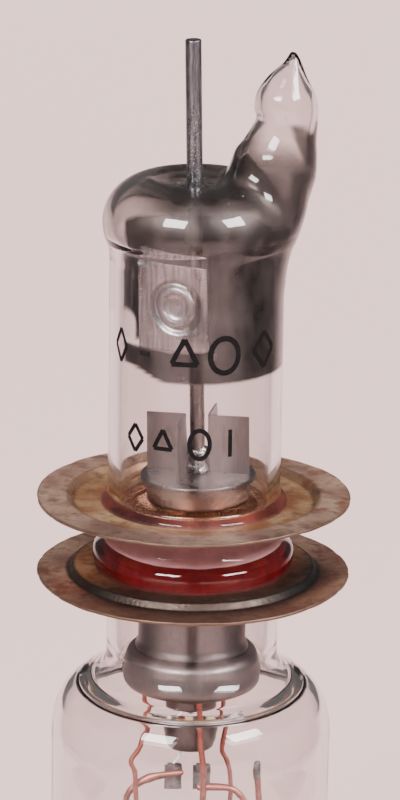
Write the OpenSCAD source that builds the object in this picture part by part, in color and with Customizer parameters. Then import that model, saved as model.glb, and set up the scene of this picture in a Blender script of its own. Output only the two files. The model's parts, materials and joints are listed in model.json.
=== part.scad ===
// Disc-seal reflex klystron: a glass microwave oscillator tube on an eight-pin octal base.
// The origin is the centre of the base's seat face, where it rests on its socket. +Z runs up the tube.

/* [Overall] */
// Height of the lower disc's upper seal face above the base seat
lower_disc_z = 50.8; // [42:0.1:62]
// Clear height between the seal faces of the two discs
disc_gap = 6.3; // [5.2:0.1:8]
// Height of the upper glass, from the upper disc to the crown of the dome
envelope_h = 33.55; // [30:0.05:41]
// Length of reflector pin that stands clear of the glass
pin_exposed = 14.4; // [10:0.1:20]
// Lean of the reflector's stem and everything on it, towards -X at the top
stem_lean = 1.35; // [0:0.05:2]

/* [Glass tubing] */
// Outer diameter of the tubing sealed to the discs
tube_d = 17.4; // [14.5:0.1:21]
// Wall of the tubing
tube_wall = 1.25; // [1:0.05:1.4]
// How far each glass bead spreads past the tubing on the discs' far sides
bead_flare = 0.75; // [0.5:0.05:1.2]
// How far the bead on top of the lower disc spreads past the tubing
gap_flare = 1.5; // [1:0.05:1.8]
// Height of each glass bead
bead_h = 1.1; // [0.8:0.1:1.6]

/* [Discs] */
// Outer diameter of both contact discs
disc_d = 31.6; // [27:0.1:38]
// Diameter of the pressed step inside each disc's rim
dish_d = 25.3; // [23.5:0.1:26.4]
// Depth of the pressed step
dish_depth = 0.7; // [0.5:0.05:1]
// Thickness of the disc sheet
disc_t = 0.35; // [0.3:0.05:0.5]
// How far each disc reaches inside the glass
disc_lip = 1.2; // [1:0.1:1.6]
// Clear diameter of the two grid openings
grid_d = 6; // [5:0.1:6.4]
// Distance between the two grids
grid_gap = 1.2; // [0.8:0.1:1.6]
// Number of grid wires each way
grid_wires = 9; // [5:2:11]
// Thickness of the grid cones and grid frames
cone_t = 0.3; // [0.2:0.05:0.4]

/* [Dome] */
// How far the dome bulges past the tubing
dome_bulge = 0.75; // [0.4:0.05:1.2]
// Radius of the dome's shoulder
shoulder_r = 4.6; // [4:0.1:5]
// Wall of the dome
dome_wall = 1.1; // [0.9:0.05:1.3]
// Depth of the dish around the pin
dome_dish = 0.8; // [0.5:0.05:1]
// Radius of the glass bead round the pin
seal_bead_r = 2.4; // [2:0.1:2.6]
// Diameter of the hole from the dome into the exhaust tip
exhaust_hole_d = 3; // [2:0.1:3.4]
// Wall of the exhaust tip
tip_wall = 0.7; // [0.5:0.05:0.9]

/* [Reflector] */
// Diameter of the reflector pin
pin_d = 1.6; // [1.4:0.05:1.8]
// How much thinner the pin is where it passes through its glass bead
seal_neck = 0.2; // [0.18:0.01:0.25]
// Diameter of the stem inside the glass
stem_d = 1.5; // [1.3:0.05:1.6]
// Gap from the reflector's cover to the tubing
cover_clearance = 1.6; // [1.2:0.1:2]
// Step from the cover's rim in to the cup
cup_step = 0.65; // [0.4:0.05:0.9]
// Height of the reflector cup below its cover
cup_h = 2.9; // [2.2:0.1:3.4]
// Thickness of the reflector's sheet metal
reflector_t = 0.25; // [0.2:0.05:0.35]
// Gap from the reflector's rim to the upper disc's seal face
reflector_gap = 0.3; // [0.2:0.05:1]
// Diameter of the welded collar at the stem's foot
collar_d = 2.2; // [1.9:0.1:2.5]
// Height of the welded collar
collar_h = 2.5; // [1.5:0.1:3]
// Height of the two fin brackets
fin_h = 6; // [4:0.1:7]
// Length of each fin
fin_l = 4.1; // [3:0.1:4.3]
// Turn of the fin brackets about the stem
fin_turn = -12; // [-30:1:30]

/* [Getter] */
// Height of the getter plate
flag_h = 9.1; // [6:0.1:10]
// Thickness of the getter plate
flag_t = 0.15; // [0.1:0.05:0.2]
// Turn of the getter plate about the stem
flag_turn = 22; // [10:1:30]
// Gap from the plate's free edge to the tubing
flag_clearance = 1.4; // [1:0.1:1.8]
// Height of the plate's lower edge above the upper disc's seal face
flag_z = 15.7; // [13:0.1:17]
// Diameter of the pressed ring that holds the getter
getter_cup_d = 5.4; // [4:0.1:5.6]

/* [Gun] */
// Length of the gun's narrow sleeve
sleeve_h = 8.3; // [6:0.1:11]
// Height of the gun's wide cup
cup_body_h = 4.9; // [4:0.1:6]
// Gap from the wide cup to the neck glass
gun_clearance = 0.6; // [0.4:0.05:0.9]
// Step from the wide cup in to the narrow sleeve
gun_step = 1.4; // [1.1:0.05:1.5]
// Thickness of the gun's sheet metal
gun_t = 0.25; // [0.2:0.05:0.35]
// Length of the small can below the wide cup
can_h = 6.2; // [4:0.1:7]
// Diameter of the small can
can_d = 5.3; // [4.6:0.1:6]
// Diameter of the cathode's emitting cap
cathode_d = 5.6; // [4.6:0.1:5.8]
// Diameter of the cathode's sleeve
cathode_sleeve_d = 3.2; // [2.8:0.1:3.6]
// Gap between the cathode's cap and the focus ring
focus_gap = 0.4; // [0.3:0.05:0.6]

/* [Leads] */
// Diameter of the thick lead and of the two hooked leads
thick_lead_d = 0.65; // [0.5:0.05:0.8]
// Gap from the thick lead to the gun's small can
can_clearance = 0.45; // [0.2:0.05:0.6]
// Diameter of the thin leads
thin_lead_d = 0.5; // [0.3:0.05:0.6]
// Diameter of the heater wire
heater_wire_d = 0.25; // [0.2:0.05:0.3]
// Width of each heater clip
clip_w = 1.8; // [1.4:0.1:2]
// Height of each heater clip
clip_h = 2.4; // [1.8:0.1:2.6]
// Thickness of each heater clip
clip_t = 0.6; // [0.4:0.1:0.8]

/* [Bulb] */
// Outer diameter of the bulb
bulb_d = 28.5; // [24:0.1:34.5]
// Wall of the bulb
bulb_wall = 1.1; // [0.9:0.05:1.2]
// Length of straight neck between the lower disc's bead and the shoulder
neck_h = 6.4; // [4.5:0.1:8]
// Height of the shoulder from neck to bulb
shoulder_h = 9.8; // [8:0.1:12]
// Height of the bulb's rounded lower edge above the base floor
bulb_lift = 0.6; // [0.4:0.1:1]
// Height of the press that seals the leads
press_h = 6; // [4:0.1:7]
// Height of the press's upper face above the base seat
press_top = 19.5; // [18:0.1:21]

/* [Base] */
// Height of the base shell
shell_h = 14.5; // [12:0.1:17]
// Wall of the base shell
shell_wall = 1.7; // [1.4:0.05:2]
// Thickness of the base floor
floor_t = 2.2; // [1.8:0.1:2.5]
// Gap between bulb and shell, filled with cement
cement_gap = 0.35; // [0.2:0.05:0.5]
// Diameter of the circle through the pins
pin_circle_d = 17.45; // [17:0.05:18]
// Outer diameter of each base pin
base_pin_d = 2.36; // [2.3:0.02:2.4]
// How much wider each pin is in the base floor than below it
pin_shoulder = 0.22; // [0.2:0.02:0.4]
// Bore of each base pin
base_pin_bore = 1.5; // [1.2:0.1:1.7]
// Depth of each pin's open bore below the seat; solder fills the pin below that
pin_bore_l = 2; // [1:0.1:3]
// Length of the straight part of each pin below the seat
base_pin_l = 10.5; // [9:0.1:11.5]
// Height of the rounded solder on each pin
solder_h = 0.6; // [0.4:0.1:0.8]
// Diameter of the locating key
key_d = 7.9; // [7.7:0.1:8.1]
// Length of the locating key
key_l = 14; // [12:0.1:15]
// Width of the rib on the key
rib_w = 2; // [1.6:0.1:2.2]
// How far the rib stands out from the key
rib_out = 1.05; // [0.8:0.05:1.2]

/* [Hidden] */
$fn = 96;
pin_count = 8;

tube_r = tube_d / 2;
bore_r = tube_r - tube_wall;
disc_r = disc_d / 2;
dish_r = dish_d / 2;
disc_bore_r = bore_r - disc_lip;
step_run = 0.45;
roll = 0.22;
// The pin's bead: its height, how far it stands above the dish, and how far the pin reaches below it
seal_h = 1.9;
seal_rise = 0.1;
seal_lap = 0.4;
seal_pin_r = pin_d / 2 - seal_neck;

// Levels, from the base seat up
lower_disc_under = lower_disc_z - disc_t;
neck_top = lower_disc_under - bead_h;
shoulder_top = neck_top - neck_h;
bulb_top = shoulder_top - shoulder_h;
upper_disc_under = lower_disc_z + disc_gap;
upper_disc_z = upper_disc_under + disc_t;
crown_z = upper_disc_z + envelope_h;
shoulder_z = crown_z - shoulder_r;
seal_top = crown_z - dome_dish + seal_rise;
seal_bottom = seal_top - seal_h;
stem_top = seal_bottom - seal_lap;
pin_top = seal_top + pin_exposed;
lean_z = upper_disc_z + 18.5;
cover_top = upper_disc_z + reflector_gap + cup_h;
grid_z = (lower_disc_z + upper_disc_under) / 2;

cover_r = bore_r - cover_clearance;
cup_r = cover_r - cup_step;
dome_r = tube_r + dome_bulge;

gun_cup_r = bore_r - gun_clearance;
sleeve_r = gun_cup_r - gun_step;
cup_body_top = lower_disc_under - sleeve_h;
cup_body_bottom = cup_body_top - cup_body_h;
can_bottom = cup_body_bottom - can_h;
lead_drop = cup_body_bottom - press_top;

bulb_r = bulb_d / 2;
foot_round = 3;
flare_r = bulb_r - foot_round;
press_bottom = press_top - press_h;
stem_tube_r = 4.5;
shell_bore_r = bulb_r + cement_gap;
shell_r = shell_bore_r + shell_wall;
bulb_bottom = floor_t + bulb_lift;
pin_circle_r = pin_circle_d / 2;
base_pin_r = base_pin_d / 2;
base_pin_top = floor_t + 0.4;

// Points along an arc in the profile plane
function arc(centre, r, from, to, steps = 12) =
    [for (i = [0 : steps]) let (a = from + (to - from) * i / steps) centre + r * [cos(a), sin(a)]];
// A smooth curve through hand-set points
function spline_point(p0, p1, p2, p3, t) =
    let (bend = 2 * p0 - 5 * p1 + 4 * p2 - p3, twist = 3 * p1 - p0 - 3 * p2 + p3)
    p1 + ((p2 - p0) * t + bend * t * t + twist * t * t * t) / 2;
function spline(points, steps) =
    let (last = len(points) - 1)
    [for (i = [0 : last - 1]) for (k = [0 : steps - 1])
        spline_point(points[max(i - 1, 0)], points[i], points[i + 1], points[min(i + 2, last)], k / steps),
     points[last]];
function reversed(points) = [for (i = [len(points) - 1 : -1 : 0]) points[i]];
function unit(v) = v / norm(v);
function tangent(points, i) = unit(points[min(i + 1, len(points) - 1)] - points[max(i - 1, 0)]);
// A wall of even thickness inside an outline that runs from its top down
function inset(points, wall) =
    [for (i = [0 : len(points) - 1]) let (t = tangent(points, i)) points[i] + wall * [t[1], -t[0]]];
function walled(points, wall) = concat(points, reversed(inset(points, wall)));

// Points round a circle that lies along u and v
function circle_points(centre, r, u, v, sides) =
    [for (k = [0 : sides - 1]) let (a = 360 * k / sides) centre + r * (cos(a) * u + sin(a) * v)];

// Two triangles for each pair of neighbouring points on neighbouring rings of n points
function side_faces(n, rings) =
    [for (j = [0 : rings - 2]) for (i = [0 : n - 1])
        let (k = (i + 1) % n, low = j * n, high = low + n)
        each [[low + i, high + i, high + k], [low + i, high + k, low + k]]];

// Rings of points joined into one closed skin
module skin(rings) {
    n = len(rings[0]);
    last = len(rings) - 1;
    polyhedron(
        points = [for (ring = rings) each ring],
        faces = concat(
            [[for (i = [0 : n - 1]) i]],
            [[for (i = [n - 1 : -1 : 0]) last * n + i]],
            side_faces(n, len(rings))
        )
    );
}

// A round wire swept along points; side is any direction the wire never runs along
module wire(points, d, side, sides = 8) {
    skin([for (i = [0 : len(points) - 1])
        let (t = tangent(points, i), u = unit(cross(side, t)), v = cross(t, u))
        circle_points(points[i], d / 2, u, v, sides)]);
}

// The reflector's stem and what it carries stand in this leaning frame
module leaning() {
    translate([0, 0, lean_z]) rotate([0, -stem_lean, 0]) translate([0, 0, -lean_z]) children();
}

module ring(outer, inner, z0, z1) {
    translate([0, 0, z0]) difference() {
        cylinder(r = outer, h = z1 - z0);
        translate([0, 0, -1]) cylinder(r = inner, h = z1 - z0 + 2);
    }
}

// ---- Reflector and its stem ----
module reflector_pin() {
    chamfer = 0.15;
    color("dimgray") leaning() {
        translate([0, 0, stem_top]) cylinder(r = seal_pin_r, h = seal_top - stem_top);
        translate([0, 0, seal_top]) cylinder(r = pin_d / 2, h = pin_exposed - chamfer);
        translate([0, 0, pin_top - chamfer]) cylinder(r1 = pin_d / 2, r2 = pin_d / 2 - chamfer, h = chamfer);
    }
}
module reflector_stem() {
    color("silver") leaning()
        translate([0, 0, cover_top]) cylinder(d = stem_d, h = stem_top - cover_top);
}
module rod_seal_bead() {
    edge = 0.25;
    color("slategray", 0.6) leaning() rotate_extrude()
        polygon([[seal_pin_r, seal_bottom], [seal_bead_r - edge, seal_bottom],
                 [seal_bead_r, seal_bottom + edge], [seal_bead_r, seal_top - edge],
                 [seal_bead_r - edge, seal_top], [seal_pin_r, seal_top]]);
}
module reflector_collar() {
    color("gainsboro") leaning() ring(collar_d / 2, stem_d / 2, cover_top, cover_top + collar_h);
}
module reflector_cover() {
    color("gainsboro") leaning() rotate_extrude()
        polygon(concat([[0, cover_top - reflector_t], [cup_r, cover_top - reflector_t]],
                       arc([cover_r - roll, cover_top - roll], roll, -90, 90), [[0, cover_top]]));
}
module reflector_cup() {
    low = cover_top - cup_h;
    hollow = 1.2;
    foot_round = 0.5;
    steps = 8;
    face = [for (i = [1 : steps]) let (in = 1 - i / steps)
        [(cup_r - 0.9) * in, low + hollow * (1 - in * in)]];
    back = [for (i = [steps - 1 : -1 : 0]) face[i] + [0, reflector_t]];
    color("silver") leaning() rotate_extrude()
        polygon(concat([[cup_r, cover_top - 2 * roll]],
                       arc([cup_r - foot_round, low + foot_round], foot_round, 0, -90, 8), face, back,
                       [[cup_r - 0.6, low + reflector_t], [cup_r - reflector_t, low + 0.7],
                        [cup_r - reflector_t, cover_top - 2 * roll]]));
}
// One L-shaped bracket: two upright fins that meet beside the stem
module fin_bracket(turn) {
    fin_t = 0.2;
    heel = stem_d / 2 + 0.4;
    leaning() rotate([0, 0, turn]) translate([heel, -fin_t / 2, cover_top]) {
        cube([fin_l, fin_t, fin_h]);
        cube([fin_t, fin_l, fin_h]);
    }
}
module fin_bracket_right() { color("silver") fin_bracket(fin_turn); }
module fin_bracket_left() { color("silver") fin_bracket(fin_turn + 180); }

// ---- Getter ----
// The plate's edge beside the stem, and its direction away from it
flag_edge = [1.1, -1.35];
flag_dir = [-cos(flag_turn), sin(flag_turn)];
flag_reach = bore_r - flag_clearance;
flag_along = flag_edge * flag_dir;
flag_w = -flag_along + sqrt(flag_along * flag_along - flag_edge * flag_edge + flag_reach * flag_reach);
// The pressed ring's centre, as a share of the plate's height
cup_share = 0.42;
module on_flag() {
    leaning() translate([flag_edge[0], flag_edge[1], upper_disc_z + flag_z])
        rotate([0, 0, 180 - flag_turn]) children();
}
module getter_plate() {
    color("gainsboro") on_flag() difference() {
        translate([0, -flag_t / 2, 0]) cube([flag_w, flag_t, flag_h]);
        translate([flag_w / 2, 0, flag_h * cup_share]) rotate([90, 0, 0])
            cylinder(d = getter_cup_d - 1, h = 1, center = true);
    }
}
module getter_cup() {
    r = getter_cup_d / 2;
    rim = 0.45;
    floor = 0.12;
    dome = 0.4;
    color("whitesmoke") on_flag() translate([flag_w / 2, flag_t / 2, flag_h * cup_share]) rotate([-90, 0, 0])
        rotate_extrude() polygon(concat([[0, 0], [r, 0]], arc([r - rim, 0], rim, 20, 160, 8),
            [[r - 1, floor], [r - 1.25, floor]],
            [for (a = [0 : 15 : 90]) [(r - 1.3) * cos(a), floor + dome * sin(a)]],
            [[0, 0]]));
}
module getter_strap() {
    strap_z = upper_disc_z + flag_z + 6.5;
    color("silver") difference() {
        leaning() ring(stem_d / 2 + 0.2, stem_d / 2, strap_z, strap_z + 1.4);
        on_flag() translate([-5, -flag_t / 2, -1]) cube([10, 5, flag_h + 2]);
    }
}

// ---- Upper glass ----
// Outer outline of the upper glass, from the pin's seal out over the dome and down the tube
dome_centre = [dome_r - shoulder_r, shoulder_z];
dome_foot = acos((tube_r - dome_centre[0]) / shoulder_r);
inner_foot = acos((bore_r - dome_centre[0]) / (shoulder_r - dome_wall));
function dish(r0, z0) =
    [for (i = [0 : 8]) let (out = i / 8)
        [seal_bead_r + (r0 - seal_bead_r) * out, z0 - dome_dish * (1 + cos(180 * out)) / 2]];
dome_outline = concat(dish(dome_centre[0], crown_z), arc(dome_centre, shoulder_r, 88, -dome_foot, 20));
module envelope_solid() {
    rotate_extrude() polygon(concat([[0, crown_z - dome_dish]], dome_outline,
        [[tube_r, upper_disc_z + bead_h], [0, upper_disc_z + bead_h]]));
}
module seal_hole() {
    leaning() translate([0, 0, seal_bottom - 5]) cylinder(r = seal_bead_r, h = 20);
}
module upper_envelope() {
    inner = shoulder_r - dome_wall;
    color("lightgray", 0.4) difference() {
        rotate_extrude() polygon(concat([[1, crown_z - dome_dish]], dome_outline,
            [[tube_r, upper_disc_z + bead_h], [bore_r, upper_disc_z + bead_h]],
            arc(dome_centre, inner, -inner_foot, 88, 20), reversed(dish(dome_centre[0], crown_z - dome_wall)),
            [[1, crown_z - dome_wall - dome_dish]]));
        seal_hole();
        translate([dome_centre[0], 0, dome_centre[1]]) rotate([0, 50, 0])
            cylinder(d = exhaust_hole_d, h = shoulder_r + 2);
    }
}
// Exhaust tip: height over the dome's shoulder centre, centre from the tube's axis past its wall, radius
tip_rings = [[-5.4, -3.2, 3.3], [-2, -2.3, 3.4], [1.5, -1.5, 3.8], [4.2, -1.5, 4.3], [6.2, -0.95, 3.8],
             [8.6, -0.5, 3.35], [11.2, -0.3, 3.15], [13.2, -0.15, 2.95], [14.8, 0.05, 2.2], [16.1, 0.3, 1.2],
             [16.9, 0.42, 0.5], [17.25, 0.45, 0.15]];
module tip_skin(wall) {
    sides = 32;
    profile = spline([for (p = tip_rings) [shoulder_z + p[0], tube_r + p[1], p[2]]], 2);
    kept = [for (p = profile) if (p[2] > wall + 0.1) p];
    skin([for (p = kept) [for (k = [0 : sides - 1])
        [p[1] + (p[2] - wall) * cos(360 * k / sides), (p[2] - wall) * sin(360 * k / sides), p[0]]]]);
}
module exhaust_tip() {
    color("white", 0.4) difference() {
        tip_skin(0);
        tip_skin(tip_wall);
        envelope_solid();
        seal_hole();
    }
}

// ---- Contact discs, beads and grids ----
// Pressed disc: rim level at rim_z, centre level at seal_z, both on the sheet's upper side
module contact_disc(rim_z, seal_z) {
    edge = 0.1;
    draft = rim_z > seal_z ? 0.1 : -0.1;
    rotate_extrude() polygon([
        [disc_bore_r, seal_z], [dish_r - step_run, seal_z], [dish_r, rim_z], [disc_r - edge, rim_z],
        [disc_r, rim_z - edge], [disc_r, rim_z - disc_t + edge], [disc_r - edge, rim_z - disc_t],
        [dish_r + draft, rim_z - disc_t], [dish_r - step_run + draft, seal_z - disc_t],
        [disc_bore_r, seal_z - disc_t]]);
}
module upper_disc() { color("rosybrown") contact_disc(upper_disc_z + dish_depth, upper_disc_z); }
module lower_disc() { color("tan") contact_disc(lower_disc_z - dish_depth, lower_disc_z); }

// Glass bead against a disc at z, spreading by flare and running away from it in direction way
module seal_bead(z, way, flare) {
    steps = 8;
    foot = 0.25;
    rotate_extrude() polygon(concat(
        [[bore_r, z], [tube_r + flare - 0.15, z], [tube_r + flare, z + way * foot]],
        [for (i = [1 : steps]) let (up = i / steps)
            [tube_r + flare * (1 + cos(180 * up)) / 2, z + way * (foot + (bead_h - foot) * up)]],
        [[bore_r, z + way * bead_h]]));
}
// The bead on top of the lower disc: its rounding, and how much higher than the others it stands
gap_round = 0.35;
gap_extra = 0.5;
module upper_outer_bead() { color("indianred", 0.7) seal_bead(upper_disc_z, 1, bead_flare); }
module upper_inner_bead() { color("indianred", 0.7) seal_bead(upper_disc_under, -1, bead_flare / 2); }
module lower_outer_bead() { color("indianred", 0.7) seal_bead(lower_disc_under, -1, bead_flare); }
module lower_inner_bead() {
    steps = 6;
    belly = 0.8;
    color("firebrick", 0.8) rotate_extrude() polygon(concat(
        [[bore_r, lower_disc_z], [tube_r + gap_flare - gap_round, lower_disc_z]],
        [for (i = [0 : steps]) [tube_r + gap_flare - gap_round * (1 - sin(90 * i / steps)),
            lower_disc_z + belly * i / steps]],
        [for (i = [1 : steps]) [tube_r + gap_flare - gap_round * (1 - cos(90 * i / steps)),
            lower_disc_z + belly + (bead_h + gap_extra - belly) * i / steps]],
        [[bore_r, lower_disc_z + bead_h + gap_extra]]));
}
module gap_glass() {
    steps = 10;
    low = lower_disc_z + bead_h + gap_extra;
    high = upper_disc_under - bead_h;
    color("mistyrose", 0.6) rotate_extrude() polygon(concat([[bore_r, low]],
        [for (i = [0 : steps])
            [tube_r + (gap_flare - gap_round) * pow(1 - i / steps, 2), low + (high - low) * i / steps]],
        [[bore_r, high]]));
}
// Copper cone from a disc's lip, in to the grid; way is +1 above the grid gap and -1 below
module grid_cone(z, way) {
    frame = z - way * (abs(grid_z - z) - grid_gap / 2);
    foot = disc_bore_r + 0.75;
    grid_r = grid_d / 2;
    rotate_extrude() polygon([
        [foot, z], [disc_bore_r + 0.1, z], [grid_r + 0.7, frame + way * cone_t],
        [grid_r, frame + way * cone_t], [grid_r, frame], [grid_r + 0.6, frame],
        [disc_bore_r + 0.15, z - way * cone_t], [foot, z - way * cone_t]]);
}
module upper_grid_cone() { color("peru") grid_cone(upper_disc_under, 1); }
module lower_grid_cone() { color("peru") grid_cone(lower_disc_z, -1); }
// Grid of crossed wires in a thin frame
grid_t = 0.12;
module grid(z) {
    wire_w = 0.1;
    pitch = grid_d / (grid_wires + 1);
    ring(grid_d / 2 + 0.5, grid_d / 2, z, z + grid_t);
    intersection() {
        translate([0, 0, z]) cylinder(d = grid_d + 0.2, h = grid_t);
        for (turn = [0, 90]) rotate([0, 0, turn]) for (i = [1 : grid_wires])
            translate([-grid_d, -grid_d / 2 + i * pitch - wire_w / 2, z])
                cube([2 * grid_d, wire_w, grid_t]);
    }
}
module upper_grid() { color("goldenrod") grid(grid_z + grid_gap / 2 - grid_t); }
module lower_grid() { color("goldenrod") grid(grid_z - grid_gap / 2); }

// ---- Electron gun ----
module gun_sleeve() {
    flange = disc_bore_r + 0.4;
    color("silver") rotate_extrude() polygon([
        [sleeve_r, cup_body_top], [sleeve_r, lower_disc_under - gun_t], [flange, lower_disc_under - gun_t],
        [flange, lower_disc_under], [sleeve_r - gun_t, lower_disc_under], [sleeve_r - gun_t, cup_body_top]]);
}
module gun_cup() {
    top_round = 1.1;
    low_round = 1.4;
    outline = concat([[sleeve_r - gun_t, cup_body_top]],
        arc([gun_cup_r - top_round, cup_body_top - top_round], top_round, 90, 0, 8),
        arc([gun_cup_r - low_round, cup_body_bottom + low_round], low_round, 0, -90, 8));
    color("silver") rotate_extrude() polygon(concat(outline, [[1, cup_body_bottom],
        [1, cup_body_bottom + gun_t]],
        arc([gun_cup_r - low_round, cup_body_bottom + low_round], low_round - gun_t, -90, 0, 8),
        arc([gun_cup_r - top_round, cup_body_top - top_round], top_round - gun_t, 0, 90, 8),
        [[sleeve_r - gun_t, cup_body_top - gun_t]]));
}
module gun_can() {
    taper = 1.3;
    hole_r = 1.3;
    r = can_d / 2;
    outline = [[r, cup_body_bottom], [r, can_bottom + taper + 1.2], [r - 0.1, can_bottom + taper],
               [r - 0.35, can_bottom + 0.4], [r - 0.75, can_bottom]];
    color("silver") rotate_extrude() polygon(concat(outline,
        [[hole_r, can_bottom], [hole_r, can_bottom + gun_t], [r - 0.85, can_bottom + gun_t],
         [r - 0.35 - gun_t, can_bottom + 0.6], [r - 0.1 - gun_t, can_bottom + taper],
         [r - gun_t, can_bottom + taper + 1.2], [r - gun_t, cup_body_bottom]]));
}
cap_top = lower_disc_under - 1.9;
cap_h = 1.3;
cathode_r = cathode_d / 2;
insulator_z = lower_disc_under - 6.6;
module focus_ring() {
    color("silver") ring(sleeve_r - gun_t, cathode_r + focus_gap, cap_top - 0.3, cap_top + 0.1);
}
module cathode_cap() {
    hollow = 0.35;
    color("white") rotate_extrude() polygon(concat([[0, cap_top - hollow]],
        [for (i = [1 : 6]) [cathode_r * i / 6, cap_top - hollow * (1 - pow(i / 6, 2))]],
        [[cathode_r, cap_top - cap_h], [0, cap_top - cap_h]]));
}
module cathode_sleeve() {
    wall = 0.15;
    color("silver")
        ring(cathode_sleeve_d / 2, cathode_sleeve_d / 2 - wall, insulator_z - 1, cap_top - cap_h);
}
module gun_insulator() {
    color("ivory") difference() {
        ring(sleeve_r - gun_t, cathode_sleeve_d / 2, insulator_z, insulator_z + 1.2);
        for (a = [45 : 90 : 315]) rotate([0, 0, a]) translate([sleeve_r - 1.5, 0, insulator_z - 1])
            cylinder(d = 0.8, h = 4);
    }
}
// Heater: a helix in the cathode's sleeve and two legs down to the clips
clip_x = [-1.75, 1.2];
clip_share = 0.465;
clip_z = press_top + clip_share * lead_drop;
clip_back = -0.14 * gun_cup_r + thick_lead_d / 2;
module heater() {
    turns = 6;
    coil_r = 0.8;
    coil_low = insulator_z - 0.5;
    coil_high = cap_top - 1.7;
    steps = turns * 12;
    coil = [for (i = [0 : steps]) [coil_r * cos(30 * i), coil_r * sin(30 * i),
        coil_low + (coil_high - coil_low) * i / steps]];
    clip_top = clip_z + clip_h / 2;
    leg_y = clip_back + clip_t / 2;
    leg_in = [[clip_x[1], leg_y, clip_top], [1, 0, clip_top + 1.1], [0.8, -0.12, can_bottom + 2],
              [0.8, -0.1, coil_low - 2]];
    leg_out = [[0.35, 0, coil_high], [-0.15, 0, coil_high - 0.6], [-0.2, 0, coil_low - 2],
               [-0.8, 0, can_bottom + 2], [-1, 0, clip_top + 1.1], [clip_x[0], leg_y, clip_top]];
    path = concat(spline(leg_in, 3), coil, spline(leg_out, 3));
    color("white") wire(path, heater_wire_d, [0.03, 1, 0.02], 6);
}

// ---- Neck, bulb and stem ----
// Outer outline of the vessel below the discs, from the top down
seam = [(tube_r + bulb_r) / 2, bulb_top + shoulder_h * 0.54];
neck_outline = concat([[tube_r, neck_top], [tube_r, shoulder_top + 1.4], [tube_r, shoulder_top + 0.7]],
    spline([[tube_r, shoulder_top], [tube_r + 0.2, shoulder_top - 1.4],
            [tube_r + 1.1, bulb_top + shoulder_h * 0.71], seam], 4));
bulb_outline = concat(
    spline([seam,
            [tube_r + (bulb_r - tube_r) * 0.76, bulb_top + shoulder_h * 0.38],
            [bulb_r - 0.4, bulb_top + shoulder_h * 0.16], [bulb_r, bulb_top - shoulder_h * 0.1]], 4),
    [[bulb_r, bulb_top - shoulder_h * 0.2], [bulb_r, bulb_bottom + foot_round + 0.4]],
    arc([bulb_r - foot_round, bulb_bottom + foot_round], foot_round, 0, -90, 8));
seam_dir = unit(bulb_outline[1] - neck_outline[len(neck_outline) - 2]);
seam_normal = [-seam_dir[1], seam_dir[0]];
function seamed(points, wall, first, last) =
    let (inner = inset(points, wall), end = len(points) - 1)
    [for (i = [0 : end]) (i == 0 && first) || (i == end && last) ? points[i] - wall * seam_normal : inner[i]];
module neck_glass() {
    color("white", 0.35) rotate_extrude()
        polygon(concat(neck_outline, reversed(concat([[bore_r, neck_top]],
            [for (i = [1 : len(neck_outline) - 1]) seamed(neck_outline, tube_wall, false, true)[i]]))));
}
module bulb_glass() {
    color("white", 0.35) rotate_extrude()
        polygon(concat(bulb_outline, [[flare_r, bulb_bottom + bulb_wall]],
            [for (i = [len(bulb_outline) - 2 : -1 : 1]) inset(bulb_outline, bulb_wall)[i]],
            [bulb_outline[0] - tube_wall * seam_normal]));
}
// Stem: a funnel turned up inside the bulb, pinched to a press round the leads
module stem_flare() {
    outline = spline([[flare_r, bulb_bottom + bulb_wall], [flare_r - 2.2, bulb_bottom + 1.8],
                      [stem_tube_r + 2.2, bulb_bottom + 4.4], [stem_tube_r + 0.5, bulb_bottom + 7.6],
                      [stem_tube_r, press_bottom]], 4);
    wall = 1;
    inner = [for (i = [len(outline) - 2 : -1 : 1])
        let (t = tangent(outline, i)) outline[i] + wall * [-t[1], t[0]]];
    color("white", 0.35) rotate_extrude()
        polygon(concat(outline, [[stem_tube_r - wall, press_bottom]], inner, [[flare_r, bulb_bottom]]));
}
press_half = 0.75 * gun_cup_r;
module stem_press() {
    depth = 3.2;
    color("white", 0.5) translate([0, 0, press_bottom]) {
        linear_extrude(press_h) hull() for (side = [-1, 1])
            translate([side * (press_half - depth / 2), 0]) circle(d = depth);
    }
}

// ---- Leads ----
// A lead's points are [x, y, height]: x and y in gun-cup radii, height as a share of the drop to the press.
// Each lead leaves the press on a short straight foot.
lead_foot = 0.2;
function route(points) =
    let (curve = spline([for (p = points)
        [p[0] * gun_cup_r, p[1] * gun_cup_r, press_top + lead_foot + p[2] * (lead_drop - lead_foot)]], 3))
    concat([curve[0] - [0, 0, lead_foot]], curve);
module lead(points, d) {
    wire(route(points), d, [0, 1, 0.05]);
}
module centre_lead() {
    pass = -(can_d / 2 + thick_lead_d / 2 + can_clearance) / gun_cup_r;
    color("salmon") lead([[0.05, 0, 0], [0.12, 0.4 * pass, 0.14], [0.19, 0.92 * pass, 0.36],
        [0.2, pass, 0.55], [0.15, pass, 0.74], [0.12, pass, 0.92], [0.12, pass, 1]], thick_lead_d);
}
module left_lead() {
    color("salmon") lead([[-0.42, 0, 0], [-0.7, -0.12, 0.12], [-0.79, -0.26, 0.32], [-0.82, -0.28, 0.5],
        [-0.88, -0.28, 0.58], [-0.76, -0.28, 0.66], [-0.69, -0.28, 0.76], [-0.62, -0.28, 0.82],
        [-0.69, -0.28, 0.92], [-0.69, -0.28, 1]], thin_lead_d);
}
module right_lead() {
    color("salmon") lead([[0.28, 0, 0], [0.52, 0.12, 0.12], [0.62, 0.32, 0.26], [0.62, 0.32, 0.4],
        [0.56, 0.32, 0.5], [0.48, 0.32, 0.58], [0.5, 0.32, 0.76], [0.49, 0.32, 1]], thin_lead_d);
}
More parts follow.
